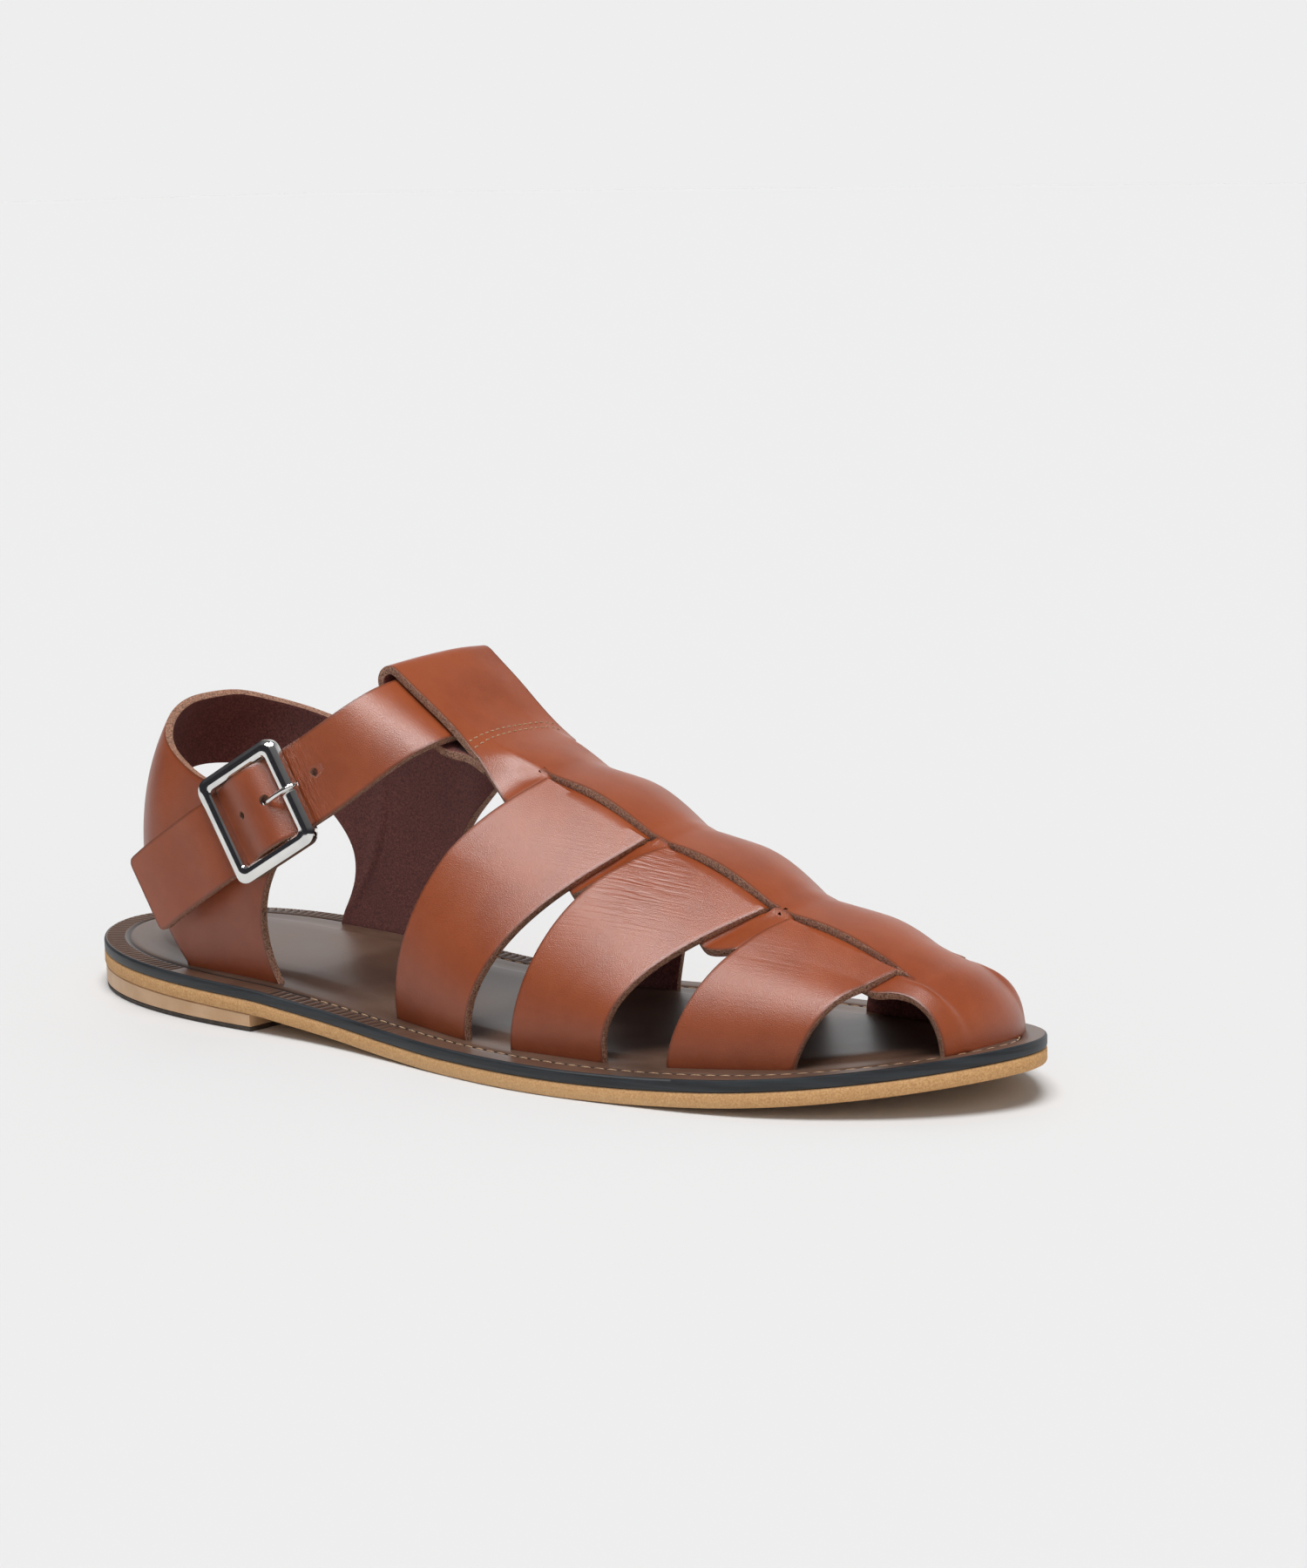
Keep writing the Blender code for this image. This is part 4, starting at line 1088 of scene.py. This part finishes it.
# one stitch: a short rounded piece of thread along a direction
def addStitch(bm, middle, ahead, up, length, thick):
    ahead = Vector(ahead).normalized()
    up = Vector(up).normalized()
    side = up.cross(ahead)
    turn = Matrix((side, up, ahead)).transposed().to_4x4()
    size = Matrix.Diagonal((thick / 2 * mm, thick / 2 * mm, length / 2 * mm, 1))
    turn.translation = middle
    bmesh.ops.create_uvsphere(bm, u_segments=6, v_segments=5, radius=1.0, matrix=turn @ size)


def buildStitches():
    bm = bmesh.new()
    half = seams["stripHalf"]
    for x in seams["stripRows"]:
        for y in np.arange(-half, half, seams["pitch"]):
            over = Vector(toRow((x, loop["middle"] + y, 130)))
            hit, normal = stripTree.ray_cast(over, Vector((0, 0, -1)))[:2]
            spot = hit + normal * (seams["thread"] / 2 - seams["sunk"] - 0.15) * mm
            ahead = Vector((0, 1, 0)) - normal * normal.y
            addStitch(bm, spot, ahead, normal, seams["stitch"], seams["thread"])
    makePiece("stripStitches", bm, ["thread"])
    bm = bmesh.new()
    ring = rimRing(soleSizes["channel"], soleSizes["rimPoints"])
    travel = np.concatenate([[0], np.cumsum(np.linalg.norm(np.diff(ring, axis=0), axis=1))])
    for at in np.arange(0, travel[-1], seams["insolePitch"]):
        k = int(np.searchsorted(travel, at)) % len(ring)
        x, y = ring[k]
        if x < seams["insoleFrom"]:
            continue
        ahead = ring[(k + 2) % len(ring)] - ring[k - 2]
        level = insoleTop(x) - soleSizes["channelDeep"] + 0.22
        slope = (insoleTop(x + 1) - insoleTop(x - 1)) / 2
        ahead = (*ahead, ahead[0] * slope)
        addStitch(bm, toRow((x, y, level)), ahead, (0, 0, 1), seams["insoleStitch"], seams["thread"])
    makePiece("insoleStitches", bm, ["thread"])


buildStitches()


# rounded rectangle in the buckle's plane
def roundedRectangle(long, wide, radius, perCorner=8):
    pts = []
    for sx, sy, start in ((1, 1, 0), (-1, 1, 90), (-1, -1, 180), (1, -1, 270)):
        for k in range(perCorner + 1):
            a = math.radians(start + 90 * k / perCorner)
            pts.append((sx * (long / 2 - radius) + radius * math.cos(a),
                        sy * (wide / 2 - radius) + radius * math.sin(a)))
    return pts


def buildBuckle():
    size = buckle
    rings = []
    across, deep = size["outerBevel"]
    for cut, depth in ((0, deep + 0.15), (0.06, deep - 0.02), (across - 0.1, 0.07), (across + 0.1, 0.0)):
        rings.append((size["long"] - 2 * cut, size["wide"] - 2 * cut, size["corner"] - 0.8 * cut, depth))
    across, deep = size["innerBevel"]
    for cut, depth in ((across + 0.1, 0.0), (across - 0.08, 0.06), (0.05, deep - 0.04), (0, deep + 0.12)):
        rings.append((size["windowLong"] + 2 * cut, size["windowWide"] + 2 * cut,
                      size["windowCorner"] + 0.8 * cut, depth))
    rings.append((size["windowLong"], size["windowWide"], size["windowCorner"], size["thick"]))
    rings.append((size["long"], size["wide"], size["corner"], size["thick"]))
    panel = []
    for long, wide, radius, depth in rings + rings[:1]:
        ring = [atBuckle(x, y, depth) for x, y in roundedRectangle(long, wide, radius)]
        panel.append(ring + ring[:1])
    bm = sewPanels([np.array(panel)])
    half = size["windowWide"] / 2 + 1.6
    start, end = (Vector(toRow(atBuckle(0, w, size["barDepth"]))) for w in (-half, half))
    turn = (end - start).to_track_quat("Z", "Y").to_matrix().to_4x4()
    turn.translation = (start + end) / 2
    bmesh.ops.create_cone(bm, cap_ends=True, segments=24, radius1=size["barRadius"] * mm,
                          radius2=size["barRadius"] * mm, depth=(end - start).length, matrix=turn)
    bmesh.ops.recalc_face_normals(bm, faces=bm.faces)
    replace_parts(makePiece("buckleFrame", bm, ["nickel"], 24), "buckle_frame")

    line = bentLine([atBuckle(a, 0, d) for a, d in size["prong"]])[0]
    panel = []
    count = 40
    for k in range(count + 1):
        spot = line(k / count)
        ahead = unit(line(min(1, k / count + 0.01)) - line(max(0, k / count - 0.01)))
        lift = np.cross(wideDir, ahead)
        radius = size["prongRadius"] * (0.06 + 0.94 * math.sqrt(1 - max(0, k / count * 12.0 - 11.0) ** 2))
        angles = np.linspace(0, 2 * math.pi, 17)
        panel.append([spot + radius * (math.cos(a) * wideDir + math.sin(a) * lift) for a in angles])
    bm = sewPanels([np.array(panel)])
    bmesh.ops.holes_fill(bm, edges=[edge for edge in bm.edges if edge.is_boundary])
    bmesh.ops.recalc_face_normals(bm, faces=bm.faces)
    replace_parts(makePiece("bucklePin", bm, ["nickel"], 35), "buckle_prong")


buildBuckle()

# a wide flat floor that fades into the background
stage = {"half": 14.0, "tone": 0.662, "background": 0.855}


def floorPaint(wire, place):
    return colour(*[stage["tone"]] * 3), 0.9, None


def buildFloor():
    bm = bmesh.new()
    bmesh.ops.create_grid(bm, x_segments=4, y_segments=4, size=stage["half"])
    paper = finishNamed("paleFloor", floorPaint, **{"Specular IOR Level": 0.0})
    floor = newObject("studioFloor", bm, [paper])


buildFloor()

# direction to the light, strength, its width in degrees, whether it lights matt colour and shows in gloss
lamps = {
    "topSoft": ((0.12, -0.16, 0.98), 2.9, 34, True, False),
    "sheenLeft": ((-0.18, -0.58, 0.79), 1.4, 20, False, True),
    "sheenRight": ((0.17, -0.44, 0.88), 2.6, 20, False, True),
    "backSoft": ((-0.35, 0.55, 0.75), 0.35, 50, True, False),
    "frontSoft": ((0.6, -0.75, 0.28), 0.3, 60, True, False),
    "sideSoft": ((0.9, -0.25, 0.35), 0.3, 60, True, False),
}


def buildLight():
    for name, (toLight, strength, wide, inMatt, inGloss) in lamps.items():
        lamp = bpy.data.lights.new(name, "SUN")
        lamp.energy = strength
        lamp.angle = math.radians(wide)
        holder = bpy.data.objects.new(name, lamp)
        holder.rotation_euler = Vector(toLight).to_track_quat("Z", "Y").to_euler()
        holder.visible_diffuse = inMatt
        holder.visible_glossy = inGloss
        bpy.context.scene.collection.objects.link(holder)
    world = bpy.data.worlds.new("studioAir")
    world.use_nodes = True
    wire = Wire(world.node_tree)
    # the studio is dim to the front and pale low down behind; the background itself is plain
    toSky = wire.node("ShaderNodeTexCoord", output=0)
    back, height = (wire.node("ShaderNodeSeparateXYZ", None, {0: toSky}, output=k) for k in (1, 2))
    wall = back.clear(0.1, 0.7) * (1 - height.clear(0.25, 0.75))
    tone = (wall + height.clear(0.2, 0.9) * 0.15).mix(colour(0.03, 0.03, 0.035), colour(1.0, 1.0, 1.0))
    tone = wire.node("ShaderNodeLightPath", output=2).mix(tone, colour(0.24, 0.24, 0.24))
    tone = wire.node("ShaderNodeLightPath").mix(tone, colour(*[stage["background"]] * 3))
    world.node_tree.links.new(tone.socket, world.node_tree.nodes["Background"].inputs["Color"])
    bpy.context.scene.world = world
    bpy.context.scene.view_settings.view_transform = "Standard"


buildLight()

shot = {
    "place": (0.64254, -0.71721, 0.22061),
    "right": (0.76795, 0.64021, -0.01945),
    "up": (-0.08910, 0.13685, 0.98658),
    "ahead": (-0.63428, 0.75591, -0.16213),
    "focalPixels": 4475.5,
    "longSidePixels": 1800,
    "sensor": 36.0,
}


def buildCamera():
    lens = bpy.data.cameras.new("shot")
    lens.sensor_fit = "AUTO"
    lens.sensor_width = shot["sensor"]
    lens.lens = shot["focalPixels"] / shot["longSidePixels"] * shot["sensor"]
    lens.clip_end = 50
    camera = bpy.data.objects.new("shot", lens)
    turn = Matrix((shot["right"], shot["up"], [-v for v in shot["ahead"]])).transposed().to_4x4()
    turn.translation = shot["place"]
    camera.matrix_world = turn
    bpy.context.scene.collection.objects.link(camera)
    bpy.context.scene.camera = camera


buildCamera()
